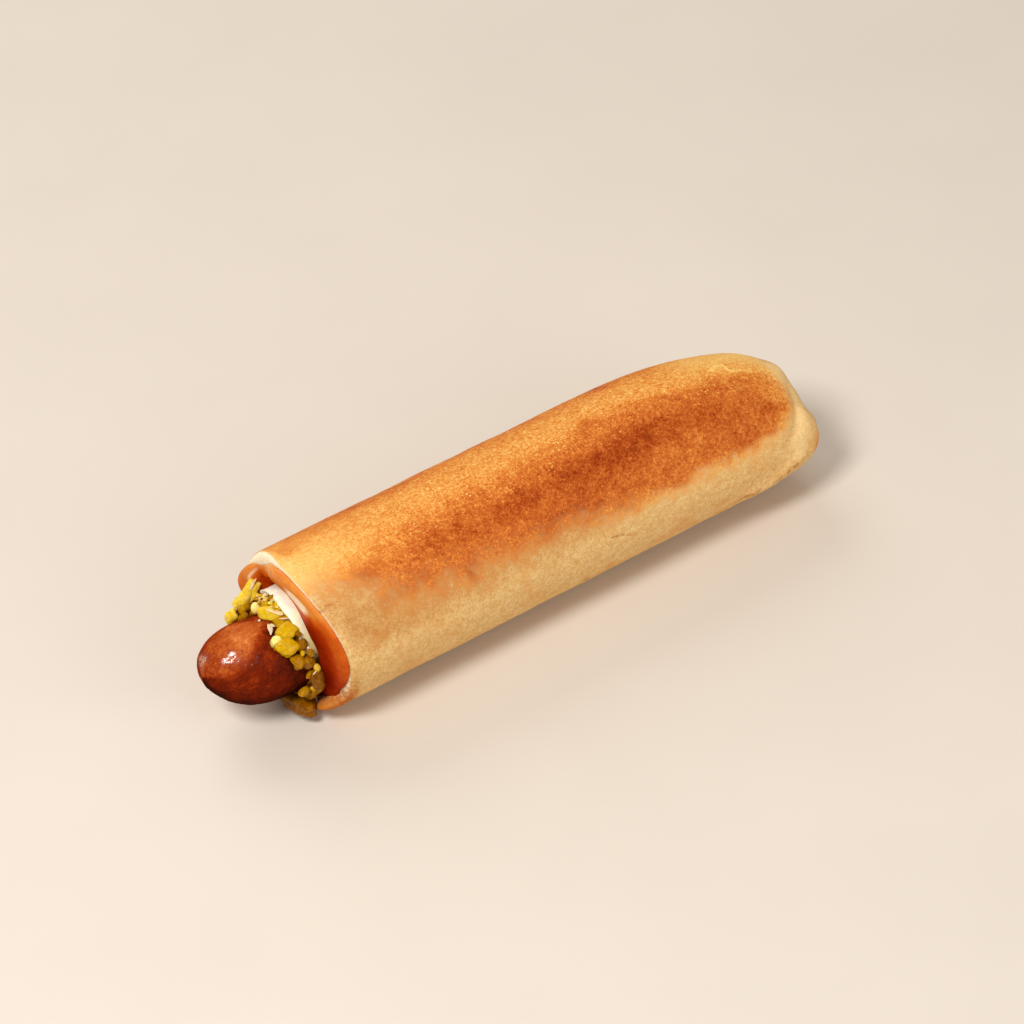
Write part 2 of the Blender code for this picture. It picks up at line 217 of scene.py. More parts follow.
def under_crust(depth):
    """Points at a depth below the mouth's crust: through the bread, then on towards the sausage."""
    crust = ring_on_crust(0.0)
    wall = ring_on_tunnel()
    to_wall = (wall - crust) / BREAD_WALL[:, None]
    to_skin = (ring_on_sausage(FILLED_LENGTH) - wall) / FILLING_ROOM[:, None]
    in_bread = np.minimum(depth, BREAD_WALL)[:, None]
    in_filling = np.maximum(depth - BREAD_WALL, 0)[:, None]
    return crust + to_wall * in_bread + to_skin * in_filling


def off_sausage(along, height):
    """Points at a height off the sausage's skin, towards the tunnel's wall."""
    to_wall = (ring_on_tunnel() - ring_on_sausage(FILLED_LENGTH)) / FILLING_ROOM[:, None]
    return ring_on_sausage(along) + to_wall * (height * np.ones(SIDES))[:, None]


def mouth_ring(turn, lift, fill=0.0):
    """A ring on the cut face: turn runs from -90 on the crust, through 0 on the rim, to 90 in the tunnel.
    The lift is off the bread, and the fill stands out of the dish at its deep end."""
    turn = np.radians(turn) * np.ones(SIDES)
    on_rim = turn < 0
    reach_along = np.where(on_rim, RIM_ROUND, DISH_DEPTH)
    reach_across = np.where(on_rim, RIM_ROUND, BREAD_WALL - RIM_ROUND)
    along = reach_along - (reach_along + lift) * np.cos(turn)
    along = along - fill * np.sin(np.maximum(turn, 0)) ** 1.4
    depth = RIM_ROUND + (reach_across + lift) * np.sin(turn)
    return place(along, under_crust(depth))


def tunnel_ring(along, lift):
    return place(along, under_crust(BREAD_WALL + lift))


def normals(grid):
    """Unit normals of a grid of rings whose points run round by ANGLES."""
    along = np.gradient(grid, axis=0)
    around = np.roll(grid, -1, axis=1) - np.roll(grid, 1, axis=1)
    across = np.cross(around, along)
    return across / np.maximum(lengths(across), 1e-12)[..., None]


def outwards(grid, row):
    """The grid's normals, turned so that the one at the top of a row points up."""
    outward = normals(grid)
    return outward if outward[row, SIDES // 4, 2] > 0 else -outward


def skin(name, grid, look, marks=None, ends=(None, None), joined=False):
    """A smooth mesh over a grid of rings, with an end point or a flat cap at either end."""
    rows, sides = grid.shape[:2]
    points = grid.reshape(-1, 3).tolist()
    index = np.arange(rows * sides).reshape(rows, sides)
    near = index if joined else index[:-1]
    far = np.roll(index, -1, axis=0) if joined else index[1:]
    quads = np.stack([near, np.roll(near, -1, axis=1), np.roll(far, -1, axis=1), far], axis=-1)
    faces = quads.reshape(-1, 4).tolist()
    closed = [row for row, end in ((0, ends[0]), (-1, ends[1])) if end is not None]
    if not joined:
        for row, end, flip in ((index[0], ends[0], 1), (index[-1], ends[1], -1)):
            loop = row[::-flip].tolist()
            if end is None:
                faces.append(loop)
                continue
            points.append(tuple(end))
            faces += [(loop[i - 1], loop[i], len(points) - 1) for i in range(sides)]
    data = bpy.data.meshes.new(name)
    data.from_pydata(points, [], faces)
    for mark, values in (marks or {}).items():
        stored = data.attributes.new(mark, "FLOAT", "POINT")
        spread = np.concatenate([values.reshape(-1), [values[row].mean() for row in closed]])
        stored.data.foreach_set("value", spread.astype(np.float32))
    mesh = bmesh.new()
    mesh.from_mesh(data)
    bmesh.ops.recalc_face_normals(mesh, faces=mesh.faces)
    mesh.to_mesh(data)
    mesh.free()
    data.shade_smooth()
    return dress(name, data, look)


def dress(name, data, look):
    """An object of a mesh, with its material, riding on the only body."""
    piece = bpy.data.objects.new(name, data)
    bpy.context.scene.collection.objects.link(piece)
    data.materials.append(look)
    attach(piece, "root")
    return piece


# ---------------------------------------------------------------- materials

class Shade:
    """One socket of a material's nodes; arithmetic on it adds Math nodes."""

    def __init__(self, paint, socket):
        self.paint = paint
        self.socket = socket

    def math(self, operation, *values):
        return self.paint.node("ShaderNodeMath", {"operation": operation}, values)

    def __add__(self, other):
        return self.math("ADD", self, other)

    def __sub__(self, other):
        return self.math("SUBTRACT", self, other)

    def __rsub__(self, other):
        return self.math("SUBTRACT", other, self)

    def __mul__(self, other):
        return self.math("MULTIPLY", self, other)

    def __abs__(self):
        return self.math("ABSOLUTE", self)

    __radd__ = __add__
    __rmul__ = __mul__


class Paint:
    """A material with one Principled shader; the method node adds every other node."""

    def __init__(self, name, **constants):
        self.material = bpy.data.materials.new(name)
        self.material.use_nodes = True
        self.nodes = self.material.node_tree.nodes
        self.links = self.material.node_tree.links
        self.shader = self.nodes["Principled BSDF"]
        for socket, value in constants.items():
            self.shader.inputs[socket.replace("_", " ")].default_value = value
        self.place = self.node("ShaderNodeTexCoord", output="Object")

    def node(self, kind, settings=None, sockets=(), output=0):
        node = self.nodes.new(kind)
        for setting, value in (settings or {}).items():
            setattr(node, setting, value)
        named = sockets.items() if isinstance(sockets, dict) else enumerate(sockets)
        for socket, value in named:
            self.feed(node.inputs[socket], value)
        return Shade(self, node.outputs[output])

    def feed(self, socket, value):
        if isinstance(value, Shade):
            self.links.new(value.socket, socket)
        else:
            socket.default_value = value

    def set(self, **inputs):
        for socket, value in inputs.items():
            self.feed(self.shader.inputs[socket.replace("_", " ")], value)

    def mark(self, name):
        """A number stored on the mesh's points."""
        return self.node("ShaderNodeAttribute", {"attribute_name": name}, output="Fac")

    def shifted(self, shift, stretch=1.0):
        """The place on the object, moved so that two noises of one size differ, and drawn out along X."""
        sockets = (self.place, (1 / stretch, 1, 1), (shift, shift * 0.7, -shift))
        return self.node("ShaderNodeVectorMath", {"operation": "MULTIPLY_ADD"}, sockets)

    def noise(self, size, detail=3.0, roughness=0.55, distortion=0.0, shift=0.0, stretch=1.0):
        sockets = {
            "Vector": self.shifted(shift, stretch),
            "Scale": 1 / size,
            "Detail": detail,
            "Roughness": roughness,
            "Distortion": distortion,
        }
        return self.node("ShaderNodeTexNoise", None, sockets, "Fac")

    def cells(self, size, shift=0.0, randomness=1.0, output="Distance"):
        """Distance to the middle of the nearest of many cells, in cells."""
        sockets = {"Vector": self.shifted(shift), "Scale": 1 / size, "Randomness": randomness}
        return self.node("ShaderNodeTexVoronoi", None, sockets, output)

    def between(self, value, low, high, bottom=0.0, top=1.0):
        """The value's way from low to high as a smooth step, from bottom to top."""
        sockets = {"Value": value, 1: low, 2: high, 3: bottom, 4: top}
        return self.node("ShaderNodeMapRange", {"interpolation_type": "SMOOTHSTEP"}, sockets)

    def mix(self, share, first, second, blend="MIX"):
        """A colour between two; on a colour mix these are the inputs 6 and 7 and the output 2."""
        settings = {"data_type": "RGBA", "blend_type": blend}
        return self.node("ShaderNodeMix", settings, {0: share, 6: first, 7: second}, 2)

    def through(self, value, *stops):
        """A colour that runs through stops, each a value and its colour as it shows on a screen."""
        (start, *shown), *rest = stops
        shown = colour(*shown)
        for stop, *tone in rest:
            share = self.node("ShaderNodeMapRange", None, {"Value": value, 1: start, 2: stop})
            shown = self.mix(share, shown, colour(*tone))
            start = stop
        return shown

    def raise_by(self, *heights):
        """A normal from bumps, each a height of 0 to 1 and its full size in metres."""
        normal = None
        for height, size in heights:
            sockets = {"Height": height, "Distance": size, "Strength": 1.0}
            if normal:
                sockets["Normal"] = normal
            normal = self.node("ShaderNodeBump", None, sockets)
        return normal


def colour(red, green, blue):
    """A colour from its values as they show on a screen, 0 to 255."""
    shown = np.array([red, green, blue]) / 255
    linear = np.where(shown <= 0.04045, shown / 12.92, ((shown + 0.055) / 1.055) ** 2.4)
    return (*linear.tolist(), 1.0)


def crust_look():
    """Baked crust: pale at the sides, golden on top, toasted in a band, and white crumb at the cut."""
    paint = Paint("baked crust", Specular_IOR_Level=0.04)
    cloud = paint.noise(11 * MM, 3.0, 0.6, 0.6, shift=0.3) - 0.5
    mottle = paint.noise(2.8 * MM, 3.0, 0.65, shift=0.1) - 0.5
    speckle = paint.noise(1.1 * MM, 2.0, 0.6, shift=0.8) - 0.5
    fine = paint.noise(0.5 * MM, 2.0, 0.8, shift=0.2) - 0.5
    stain = paint.noise(15 * MM, 5.0, 0.65, 0.8, shift=0.6)
    # Small pale bubbles on the crust: partly their own pale colour, partly painted glints.
    bubble = paint.between(paint.cells(0.95 * MM), 0.12, 0.46, 1.0, 0.0)
    chosen = paint.between(paint.cells(0.95 * MM, output="Color"), 0.4, 0.56)
    bubbled = bubble * chosen * paint.between(cloud + mottle * 0.7, -0.12, 0.16, 0.25, 1.0)
    veins = paint.between(abs(paint.noise(4.5 * MM, 3.0, 0.6, 1.2, 0.9) - 0.5), 0.004, 0.03, 1.0, 0.0)
    veined = veins * paint.between(paint.noise(3.4 * MM, 1.0, shift=0.5), 0.5, 0.6) * paint.mark("veins")
    pinhole = paint.between(paint.cells(2.3 * MM, 0.4), 0.035, 0.075, 1.0, 0.0)

    toast = paint.mark("toast")
    pebbled = bubbled * paint.mark("pebbles")
    uneven = 0.08 + toast * 0.9
    grainy = speckle * 0.85 + fine * 1.25
    shade = toast + (cloud * 0.55 + mottle * 1.0) * uneven + grainy * paint.mark("grainy")
    shade = shade - pebbled * 0.62 - veined * 0.2
    baked = paint.through(
        shade, (-0.1, 252, 212, 134), (0.0, 240, 192, 108), (0.28, 225, 148, 66), (0.55, 203, 112, 46),
        (0.8, 180, 86, 32), (1.05, 154, 62, 18), (1.3, 126, 46, 11),
    )
    softness = mottle * 0.65 + speckle * 0.75 + fine * 1.5
    soft = paint.mix(paint.between(softness, -0.32, 0.32), colour(208, 158, 90), colour(230, 197, 138))
    soft = paint.mix(paint.between(stain + fine * 0.3, 0.5, 0.72, 0.0, 0.5), soft, colour(212, 140, 66))
    soft = paint.mix(paint.between(toast, 0.3, 0.62, 0.0, 0.85), soft, colour(224, 198, 175), "MULTIPLY")
    pale = paint.mark("pale")
    turning = pale * (1 - pale) * 4
    pale = pale + (cloud * 0.9 + mottle * 1.1 + fine * 0.5) * turning
    shown = paint.mix(paint.between(pale, 0.05, 0.95), baked, soft)
    shown = paint.mix(pinhole * paint.between(toast, 0.55, 0.8) * 0.8, shown, colour(70, 34, 6))
    shown = paint.mix(paint.mark("pale_rim"), shown, colour(248, 216, 156))
    crumb = paint.mix(paint.between(fine, -0.2, 0.2), colour(246, 214, 160), colour(255, 252, 232))
    shown = paint.mix(paint.mark("crumb"), shown, crumb)
    shown = paint.mix(paint.mark("cracks"), shown, colour(176, 108, 52))
    shown = paint.mix(paint.mark("stained") * 0.9, shown, colour(196, 116, 30))
    roughness = paint.between(toast, 0.3, 1.0, 0.62, 0.45)
    relief = mottle * 0.12 + speckle * 0.08 + fine * 0.12 + pebbled * 0.14 + veined * 0.06
    paint.set(Base_Color=shown, Roughness=roughness, Normal=paint.raise_by((relief, 1 * MM)))
    return paint.material


def sausage_look():
    """Fried skin: red-brown and greasy, with drawn-out fibres and pits; painted shade darkens its near side
    and underside, and painted light pales its top.
    """
    paint = Paint("sausage skin", Specular_IOR_Level=0.0, Coat_Roughness=0.19, Coat_IOR=1.65)
    cloud = paint.noise(5 * MM, 4.0, 0.6, 0.4) - 0.5
    fibres = paint.noise(0.9 * MM, 4.0, 0.65, 0.3, 0.7, 3.2) - 0.5
    mottle = paint.noise(1.3 * MM, 4.0, 0.7, shift=0.4) - 0.5
    fine = paint.noise(0.35 * MM, 2.0, 0.7, shift=0.9) - 0.5
    pits = paint.between(paint.cells(1.5 * MM, 0.2), 0.05, 0.16, 1.0, 0.0)
    pitted = pits * paint.between(paint.noise(3 * MM, 1.0, shift=0.3), 0.5, 0.58)
    # The skin's colour: fried tone plus painted shade below and on the near side, and painted light on top.
    browned = paint.mark("browned") + cloud * 0.6 + fibres * 0.4 + mottle * 0.45 + fine * 0.35
    shown = paint.through(
        browned, (0.0, 226, 146, 78), (0.22, 198, 100, 42), (0.45, 156, 56, 16),
        (0.65, 118, 35, 11), (0.85, 84, 24, 9), (1.05, 46, 15, 7),
    )
    shown = paint.mix(pitted * 0.75, shown, colour(36, 10, 4))
    greasy = paint.between(mottle + fine * 0.8 + cloud * 0.5, -0.06, 0.1, 0.08, 1.0)
    roughness = paint.between(mottle + fine, -0.22, 0.2, 0.3, 0.55)
    # Pale specks round the highlight: painted glints.
    flecks = paint.between(paint.cells(1.9 * MM, 0.7) + fine * 0.5, 0.05, 0.16, 1.0, 0.0)
    shown = paint.mix(flecks * paint.mark("flecks"), shown, colour(226, 176, 128))
    # A pale patch at the tied tip: the tied skin's own paler colour with a painted glint.
    casing = paint.mark("casing") * paint.between(mottle + fine, -0.1, 0.12)
    shown = paint.mix(casing, shown, colour(240, 218, 194))
    relief = cloud * 0.3 + fibres * 0.14 + mottle * 0.7 + fine * 0.25 - pitted * 0.12
    normal = paint.raise_by((relief, 1 * MM))
    greasy = greasy * paint.mark("greasy")
    paint.set(Base_Color=shown, Roughness=roughness, Coat_Weight=greasy, Normal=normal)
    return paint.material


def red_look():
    """Thick tomato dressing: orange where it thins over the bread and dark red further in, where painted
    shade also darkens it into the tunnel and on the near side; pale and milky where cream mixes in, with a
    painted highlight and its pink edge."""
    paint = Paint("red dressing", Specular_IOR_Level=0.0, Coat_Roughness=0.22)
    streak = paint.noise(2.6 * MM, 3.0, 0.5, 0.5) - 0.5
    grains = paint.noise(0.5 * MM, 2.0, 0.6, shift=0.4) - 0.5
    # Darker with the mark: thicker dressing, with painted shade into the tunnel and on the near side, and
    # painted light where it pales at the top edge.
    deep = paint.mark("deep") + streak * 0.35 + grains * 0.2
    shown = paint.through(
        deep, (-0.15, 232, 166, 92), (0.05, 222, 140, 60), (0.3, 206, 96, 24),
        (0.6, 168, 52, 6), (1.0, 126, 30, 2), (1.4, 96, 16, 1),
    )
    # A pale streak: cream mixed into the dressing, with a painted highlight beside the cream and on the
    # lobe's fold, and its painted pink edge.
    smear = paint.mark("smear") + streak * paint.mark("smear") * 1.2
    shown = paint.mix(paint.between(smear, 0.1, 0.7), shown, colour(248, 224, 192))
    shown = paint.mix(paint.mark("blush") * 0.8, shown, colour(212, 136, 118))
    roughness = paint.between(streak, -0.2, 0.2, 0.2, 0.42)
    normal = paint.raise_by((streak, 0.35 * MM))
    paint.set(Base_Color=shown, Roughness=roughness, Coat_Weight=paint.mark("wet"), Normal=normal)
    return paint.material


def cream_look():
    """Cream dressing, warmer where it thins at its tail."""
    paint = Paint("cream dressing", Specular_IOR_Level=0.4, Subsurface_Weight=0.3, Subsurface_Scale=0.002)
    swirl = paint.noise(4 * MM, 3.0, 0.5, 0.6) - 0.5
    thin = paint.mark("tail") + swirl * 0.3
    shown = paint.through(thin, (0.0, 255, 249, 226), (0.5, 255, 236, 190), (1.0, 250, 204, 130))
    paint.set(Base_Color=shown, Roughness=0.38, Normal=paint.raise_by((swirl, 0.35 * MM)))
    return paint.material


def pickle_look():
    """Wet chopped pickle: bright cut flesh and olive skin, dark amber partly by its own tone and partly as
    painted shade on pieces that lie in shade.
    """
    paint = Paint(
        "pickle", Specular_IOR_Level=0.14, Subsurface_Weight=0.4, Subsurface_Scale=0.0014,
        Subsurface_Radius=(1.0, 0.7, 0.1),
    )
    flesh = paint.noise(1.4 * MM, 4.0, 0.6, 0.5) - 0.5
    fine = paint.noise(0.4 * MM, 2.0, 0.6, shift=0.3) - 0.5
    # How bright a piece is: its own tone, darkened as painted shade on pieces that lie in shade.
    ripe = paint.mark("ripe") + flesh * 0.55 + fine * 0.25
    shown = paint.through(
        ripe, (0.0, 72, 34, 2), (0.25, 128, 74, 2), (0.5, 176, 126, 3),
        (0.75, 216, 176, 12), (0.95, 238, 208, 60), (1.2, 255, 240, 156),
    )
    # Pale streaks: the cut flesh's own colour, with painted highlights.
    pulp = paint.noise(1.8 * MM, 4.0, 0.65, 0.6, 0.7, 1.8)
    fleshy = paint.between(pulp, 0.5, 0.72, 0.0, 0.6) * paint.between(paint.mark("ripe"), 0.6, 0.95)
    shown = paint.mix(fleshy, shown, colour(250, 218, 150))
    roughness = paint.between(flesh, -0.2, 0.2, 0.08, 0.24)
    relief = flesh * 0.12 + fine * 0.03
    paint.set(Base_Color=shown, Roughness=roughness, Normal=paint.raise_by((relief, 1 * MM)))
    return paint.material


def onion_look():
    """Wet scraps of onion: white and glassy, some of them stained beige by the sauce."""
    paint = Paint("onion", Specular_IOR_Level=0.6, Subsurface_Weight=0.3, Subsurface_Scale=0.001)
    stain = paint.noise(1.2 * MM, 3.0, 0.6) - 0.5
    tone = paint.mark("ripe") + stain * 0.5
    shown = paint.through(tone, (0.0, 214, 156, 90), (0.6, 238, 210, 150), (1.0, 222, 208, 190))
    paint.set(Base_Color=shown, Roughness=0.2, Normal=paint.raise_by((stain, 0.25 * MM)))
    return paint.material


def floor_look():
    paint = Paint("pale floor", Specular_IOR_Level=0.2)
    drift = paint.noise(60 * MM, 2.0)
    shown = paint.mix(drift, colour(216, 207, 196), colour(222, 213, 202))
    paint.set(Base_Color=shown, Roughness=0.85)
    return paint.material


# ---------------------------------------------------------------- the roll

def crust_relief(along):
    """How far the crust stands out at a station: its lumps, the seam, the nose's groove and shoulder."""
    from_nose = ROLL_LENGTH - along
    places = [Vector((along / LUMP_SIZE, 1.4 * np.cos(a), 1.4 * np.sin(a))) for a in ANGLES]
    uneven = CRUST_UNEVENNESS * np.array([noise.noise(point) for point in places])
    uneven *= ease(along, 4 * MM, 16 * MM) * ease(from_nose, 0, 3 * MM)
    sweep = np.clip((DEGREES - 95) / 80, 0, 1.2) ** 2
    groove = NOSE_GROOVE * band(from_nose, 2.5 * MM + 14 * MM * sweep, 2.2 * MM) * bump(DEGREES, 134, 54)
    seam_angle = 204 - 15 * ease(along, 146 * MM, 162 * MM)
    seam = SEAM_LIP * bump(DEGREES, seam_angle, 14) * ease(along, 134 * MM, 146 * MM)
    seam *= ease(from_nose, 6 * MM, 14 * MM)
    shoulder = NOSE_SHOULDER * band(along, NOSE_SHOULDER_AT, 3 * MM) * bump(DEGREES, 88, 30)
    return uneven - groove + seam + shoulder * ease(from_nose, 0, 2 * MM)


def steps(start, stop, count):
    """Stations from start to stop, closer together towards stop, for a rounded end."""
    return start + (stop - start) * np.sin(np.linspace(0, np.pi / 2, count))


# The toasted band at places along the roll, in mm from the mouth: its upper edge, its core and its
# lower edge in degrees, then how toasted the band and its core are, and how wide it fades at the bottom.
TOASTED_BAND = (
    (0, 112, 126, 150, 0.14, 0.06, 78),
    (12, 111, 125, 150, 0.18, 0.08, 72),
    (22, 105, 122, 147, 0.18, 0.10, 42),
    (40, 96, 121, 149, 0.24, 0.20, 34),
    (55, 95, 122, 148, 0.25, 0.20, 28),
    (70, 96, 122, 150, 0.26, 0.28, 25),
    (88, 97, 121, 152, 0.29, 0.30, 21),
    (104, 90, 120, 158, 0.32, 0.36, 16),
    (116, 94, 119, 160, 0.34, 0.30, 15),
    (130, 98, 118, 159, 0.35, 0.14, 14),
    (145, 101, 132, 160, 0.38, 0.10, 12),
    (152, 96, 134, 153, 0.38, 0.08, 12),
    (159, 100, 126, 145, 0.29, 0.00, 12),
    (163.5, 106, 126, 142, 0.17, 0.00, 12),
    (167.5, 112, 124, 132, 0.00, 0.00, 14),
)
# Scorched places: along in mm and round in degrees, half their length and width in the same units,
# and how dark they are.
SCORCHES = (
    (8, 150, 1.4, 4, 0.3),
    (10, 155, 1.2, 3, 0.25),
    (19, 121, 2.5, 4, 0.2),
    (24, 141, 11, 4, 0.14),
    (30, 135, 4, 9, 0.12),
    (37, 120, 4, 6, 0.14),
    (47, 148, 1.6, 6, 0.35),
    (50, 117, 3, 11, 0.18),
    (57, 106, 3, 5, 0.1),
    (63, 123, 2.5, 5, 0.1),
    (73, 122, 3, 9, 0.2),
    (80, 143, 12, 5, 0.12),
    (88, 120, 3.5, 7, 0.16),
    (99, 119, 2, 9, 0.15),
    (106, 126, 8, 9, 0.1),
    (113, 119, 3.5, 5, 0.1),
    (117, 156, 5, 4, 0.12),
    (123, 117, 3, 4, 0.06),
    (134, 130, 5, 8, 0.08),
    (141, 150, 5, 5, 0.06),
    (147.5, 154, 3.5, 4, 0.18),
    (156, 136, 3, 8, 0.12),
    (152, 84, 2.5, 5, 0.14),
    (101, 92, 3, 6, 0.12),
    (5, 72, 4, 5, 0.12),
    (30, 56, 8, 7, 0.16),
    (47, 59, 7, 7, 0.2),
    (93, 56, 3, 8, 0.16),
    (117, 56, 5, 8, 0.24),
    (63, 78, 2, 3, 0.12),
)
# The toast's borders wander by up to about this far, in mm along and in degrees round, over lumps.
TOAST_WANDER = (2.6, 5.0)
WANDER_SIZE = 7 * MM


def toast_on(grid, along, degrees):
    """How toasted the crust is, 0 to about 1, and how pale and soft it is, 0 to 1."""
    at = along / MM + TOAST_WANDER[0] * grain(grid, WANDER_SIZE, 3, 2.0)
    turned = degrees + TOAST_WANDER[1] * grain(grid, WANDER_SIZE, 3, 4.0)
    stations, *rows = np.array(TOASTED_BAND).T
    top, middle, bottom, even, deepest, fading = (np.interp(at, stations, row) for row in rows)

    # An even gold, paler on top at either end, and browner along the far and the near edge
    toast = 0.27 - 0.2 * ease(at, 34, 6) * bump(turned, 94, 38) - 0.12 * ease(at, 150, 168)
    toast -= 0.12 * ease(at, 7, 1) * bump(turned, 70, 60)
    far_edge = 0.2 * bump(turned, 48, 32) * ease(150 - at, 0, 20)
    near_edge = 0.26 * bump(turned, 156, 26) * ease(at, 120, 85)
    toast += (far_edge + near_edge) * ease(at, -5, 6) * ease(168 - at, 0, 8)
    toast -= 0.2 * ease(at, 130, 150) * bump(turned, 68, 34)

    # The band, its core and the scorches
    toast += even * ease(turned, top - 7, top + 9) * (1 - ease(turned, bottom - 12, bottom + 8))
    toast += deepest * band(turned, middle, np.where(turned < middle, 10, 17))
    for place_at, round_at, half_length, half_width, dark in SCORCHES:
        toast += dark * spot(at, turned, (place_at, round_at), (half_length, half_width))

    # Pale below the band, on the nose and on the far side, but toasted along the seam
    done = bottom + 6 + np.minimum(fading, 30) - 0.6 * np.maximum(fading - 30, 0)
    below = np.maximum(ease(turned, bottom + 2 - fading, done), 0.9 * ease(at, 163, 168))
    beyond = (1 - ease(turned, 8, 34)) * (degrees < 90)
    seam = ease(along / MM, 166, 170) * ease(along / MM, 171.7, 170.9) * bump(degrees, 190, 34)
    seam += ease(at, 138, 144) * ease(at, 157, 150) * bump(turned, 218, 12)
    return toast + 0.35 * seam, np.maximum(below, beyond) * (1 - 0.8 * seam)


def near_line(along, degrees, points, width):
    """1 on a line through places along (mm) and round (degrees), falling off over the width in mm."""
    per_degree = ROLL_HEIGHT / MM * np.pi / 360
    at = np.stack([along / MM, degrees * per_degree], axis=-1)
    corners = np.array(points, float) * (1, per_degree)
    nearest = np.full(at.shape[:-1], 1e9)
    for start, stop in zip(corners, corners[1:]):
        run = stop - start
        share = np.clip(((at - start) @ run) / (run @ run), 0, 1)
        nearest = np.minimum(nearest, lengths(at - start - share[..., None] * run))
    return band(nearest, 0, width)


# Lines on the crust: places along in mm and round in degrees.
BLISTER = ((147.5, 88), (150, 84), (152.5, 84), (152.5, 93), (158.5, 96.5))
CRACK = ((92.5, 175), (94.5, 176.5), (96.5, 177.5))
CRACK_END = ((97.5, 180), (99, 181))
HAIRLINE = ((0, 129), (2.5, 127.5), (4.5, 128))
SEAM = ((142, 201), (146, 205), (150, 205), (152, 198), (155, 198), (158, 193), (160, 190))
SEAM_CRUMBS = ((140, 202), (150, 203), (154, 197), (161, 190), (166, 184))
PALE_RIM = ((168.5, 92), (167.5, 118), (166.5, 142), (164, 160), (161, 180))


def crust_details(grid, along, degrees):
    """Where the crust is blistered, chipped, dented, cracked, crumbly and torn."""
    def drawn(points, width):
        return near_line(along, degrees, points, width)

    seam_band = drawn(SEAM_CRUMBS, 1.8)
    at_mouth = (1 - ease(along, 2 * MM, 6 * MM)) * bump(degrees, 210, 44)
    return SimpleNamespace(
        blister=drawn(BLISTER, 0.45),
        chip=spot(along / MM, degrees, (84.5, 207), (1.3, 3)),
        dent=band(along, 170 * MM, 3 * MM) * bump(degrees, 132, 24),
        crack=drawn(CRACK, 0.2) + 0.7 * drawn(CRACK_END, 0.2),
        hairline=drawn(HAIRLINE, 0.3),
        seam_line=drawn(SEAM, 0.5) * ease(grain(grid, 2.5 * MM, 2, 11.0), -0.35, 0.3),
        seam_band=seam_band,
        crumbly=seam_band * grain(grid, 1.2 * MM, 3, 13.0),
        torn=at_mouth * ease(grain(grid, 1.0 * MM, 3, 7.0), -0.4, 0.4),
    )


def crust_height(grid, along, stations, crumb, details):
    """How far the skin of the roll stands out: the crust from its first station on, then the crumb."""
    height = np.zeros_like(along)
    height[-len(stations):] = [crust_relief(station) for station in stations]
    fine = 0.07 * MM * grain(grid, 5 * MM, 3) + 0.035 * MM * grain(grid, 1.3 * MM, 2, 5.0)
    height += fine * ease(along, 2 * MM, 6 * MM)
    height += 0.22 * MM * details.blister + 0.7 * MM * details.chip - 1.2 * MM * details.dent
    height += 0.5 * MM * details.crumbly + 0.25 * MM * details.seam_band
    height -= 0.3 * MM * details.crack + 0.35 * MM * details.hairline + 0.5 * MM * details.seam_line
    height += 0.6 * MM * details.torn * (details.torn - 0.35)
    off_floor = ease(grid[..., 2], 0, 4 * MM)
    height = np.where(height > 0, height * off_floor, height)
    return height + 0.08 * MM * crumb * grain(grid, 1.1 * MM, 3, 9.0)


def crust_marks(grid, along, degrees, crumb, details):
    """What the baked crust's material reads off the mesh."""
    toast, pale = toast_on(grid, along, degrees)
    at_lip = bump(degrees, 220, 42) * (1 - ease(along, 1 * MM, 6 * MM))
    pale = pale * (1 - at_lip)
    cracks = details.crack + 0.9 * details.hairline + 0.7 * details.seam_line + details.torn
    cracks += 0.8 * details.chip + 0.6 * ease(details.crumbly, -0.1, -0.45)
    # Where the pale bubbles and their painted glints lie.
    pebbles = 0.5 * bump(degrees, 85, 55) + 0.7 * bump(degrees, 108, 22)
    smooth_end = 0.45 * ease(along / MM, 132, 150) * bump(degrees, 70, 40)
    return {
        "toast": toast + 0.4 * at_lip - 0.3 * details.blister,
        "pale": pale,
        "pale_rim": 0.5 * near_line(along, degrees, PALE_RIM, 2.8),
        "pebbles": pebbles * ease(along / MM, 14, 45),
        "veins": ease(along / MM, 70, 110) * bump(degrees, 126, 60) * (1 - pale),
        "cracks": np.clip(cracks, 0, 1),
        "crumb": crumb,
        "grainy": 0.45 + 0.55 * ease(along / MM, 3, 34) - smooth_end,
    }


def near_rim(turns, stations):
    """1 on the rim's edge, falling off along the skin: into the mouth, by 0.12 mm a degree of its turn,
    and over the rim along the crust."""
    over_rim = np.where(turns < 0, RIM_ROUND * np.radians(-turns), 0.12 * MM * turns)
    beyond_rim = RIM_ROUND * (np.pi / 2 - 1) + np.array(stations)
    return band(np.concatenate([over_rim, beyond_rim]), 0, LIP_REACH)[:, None]


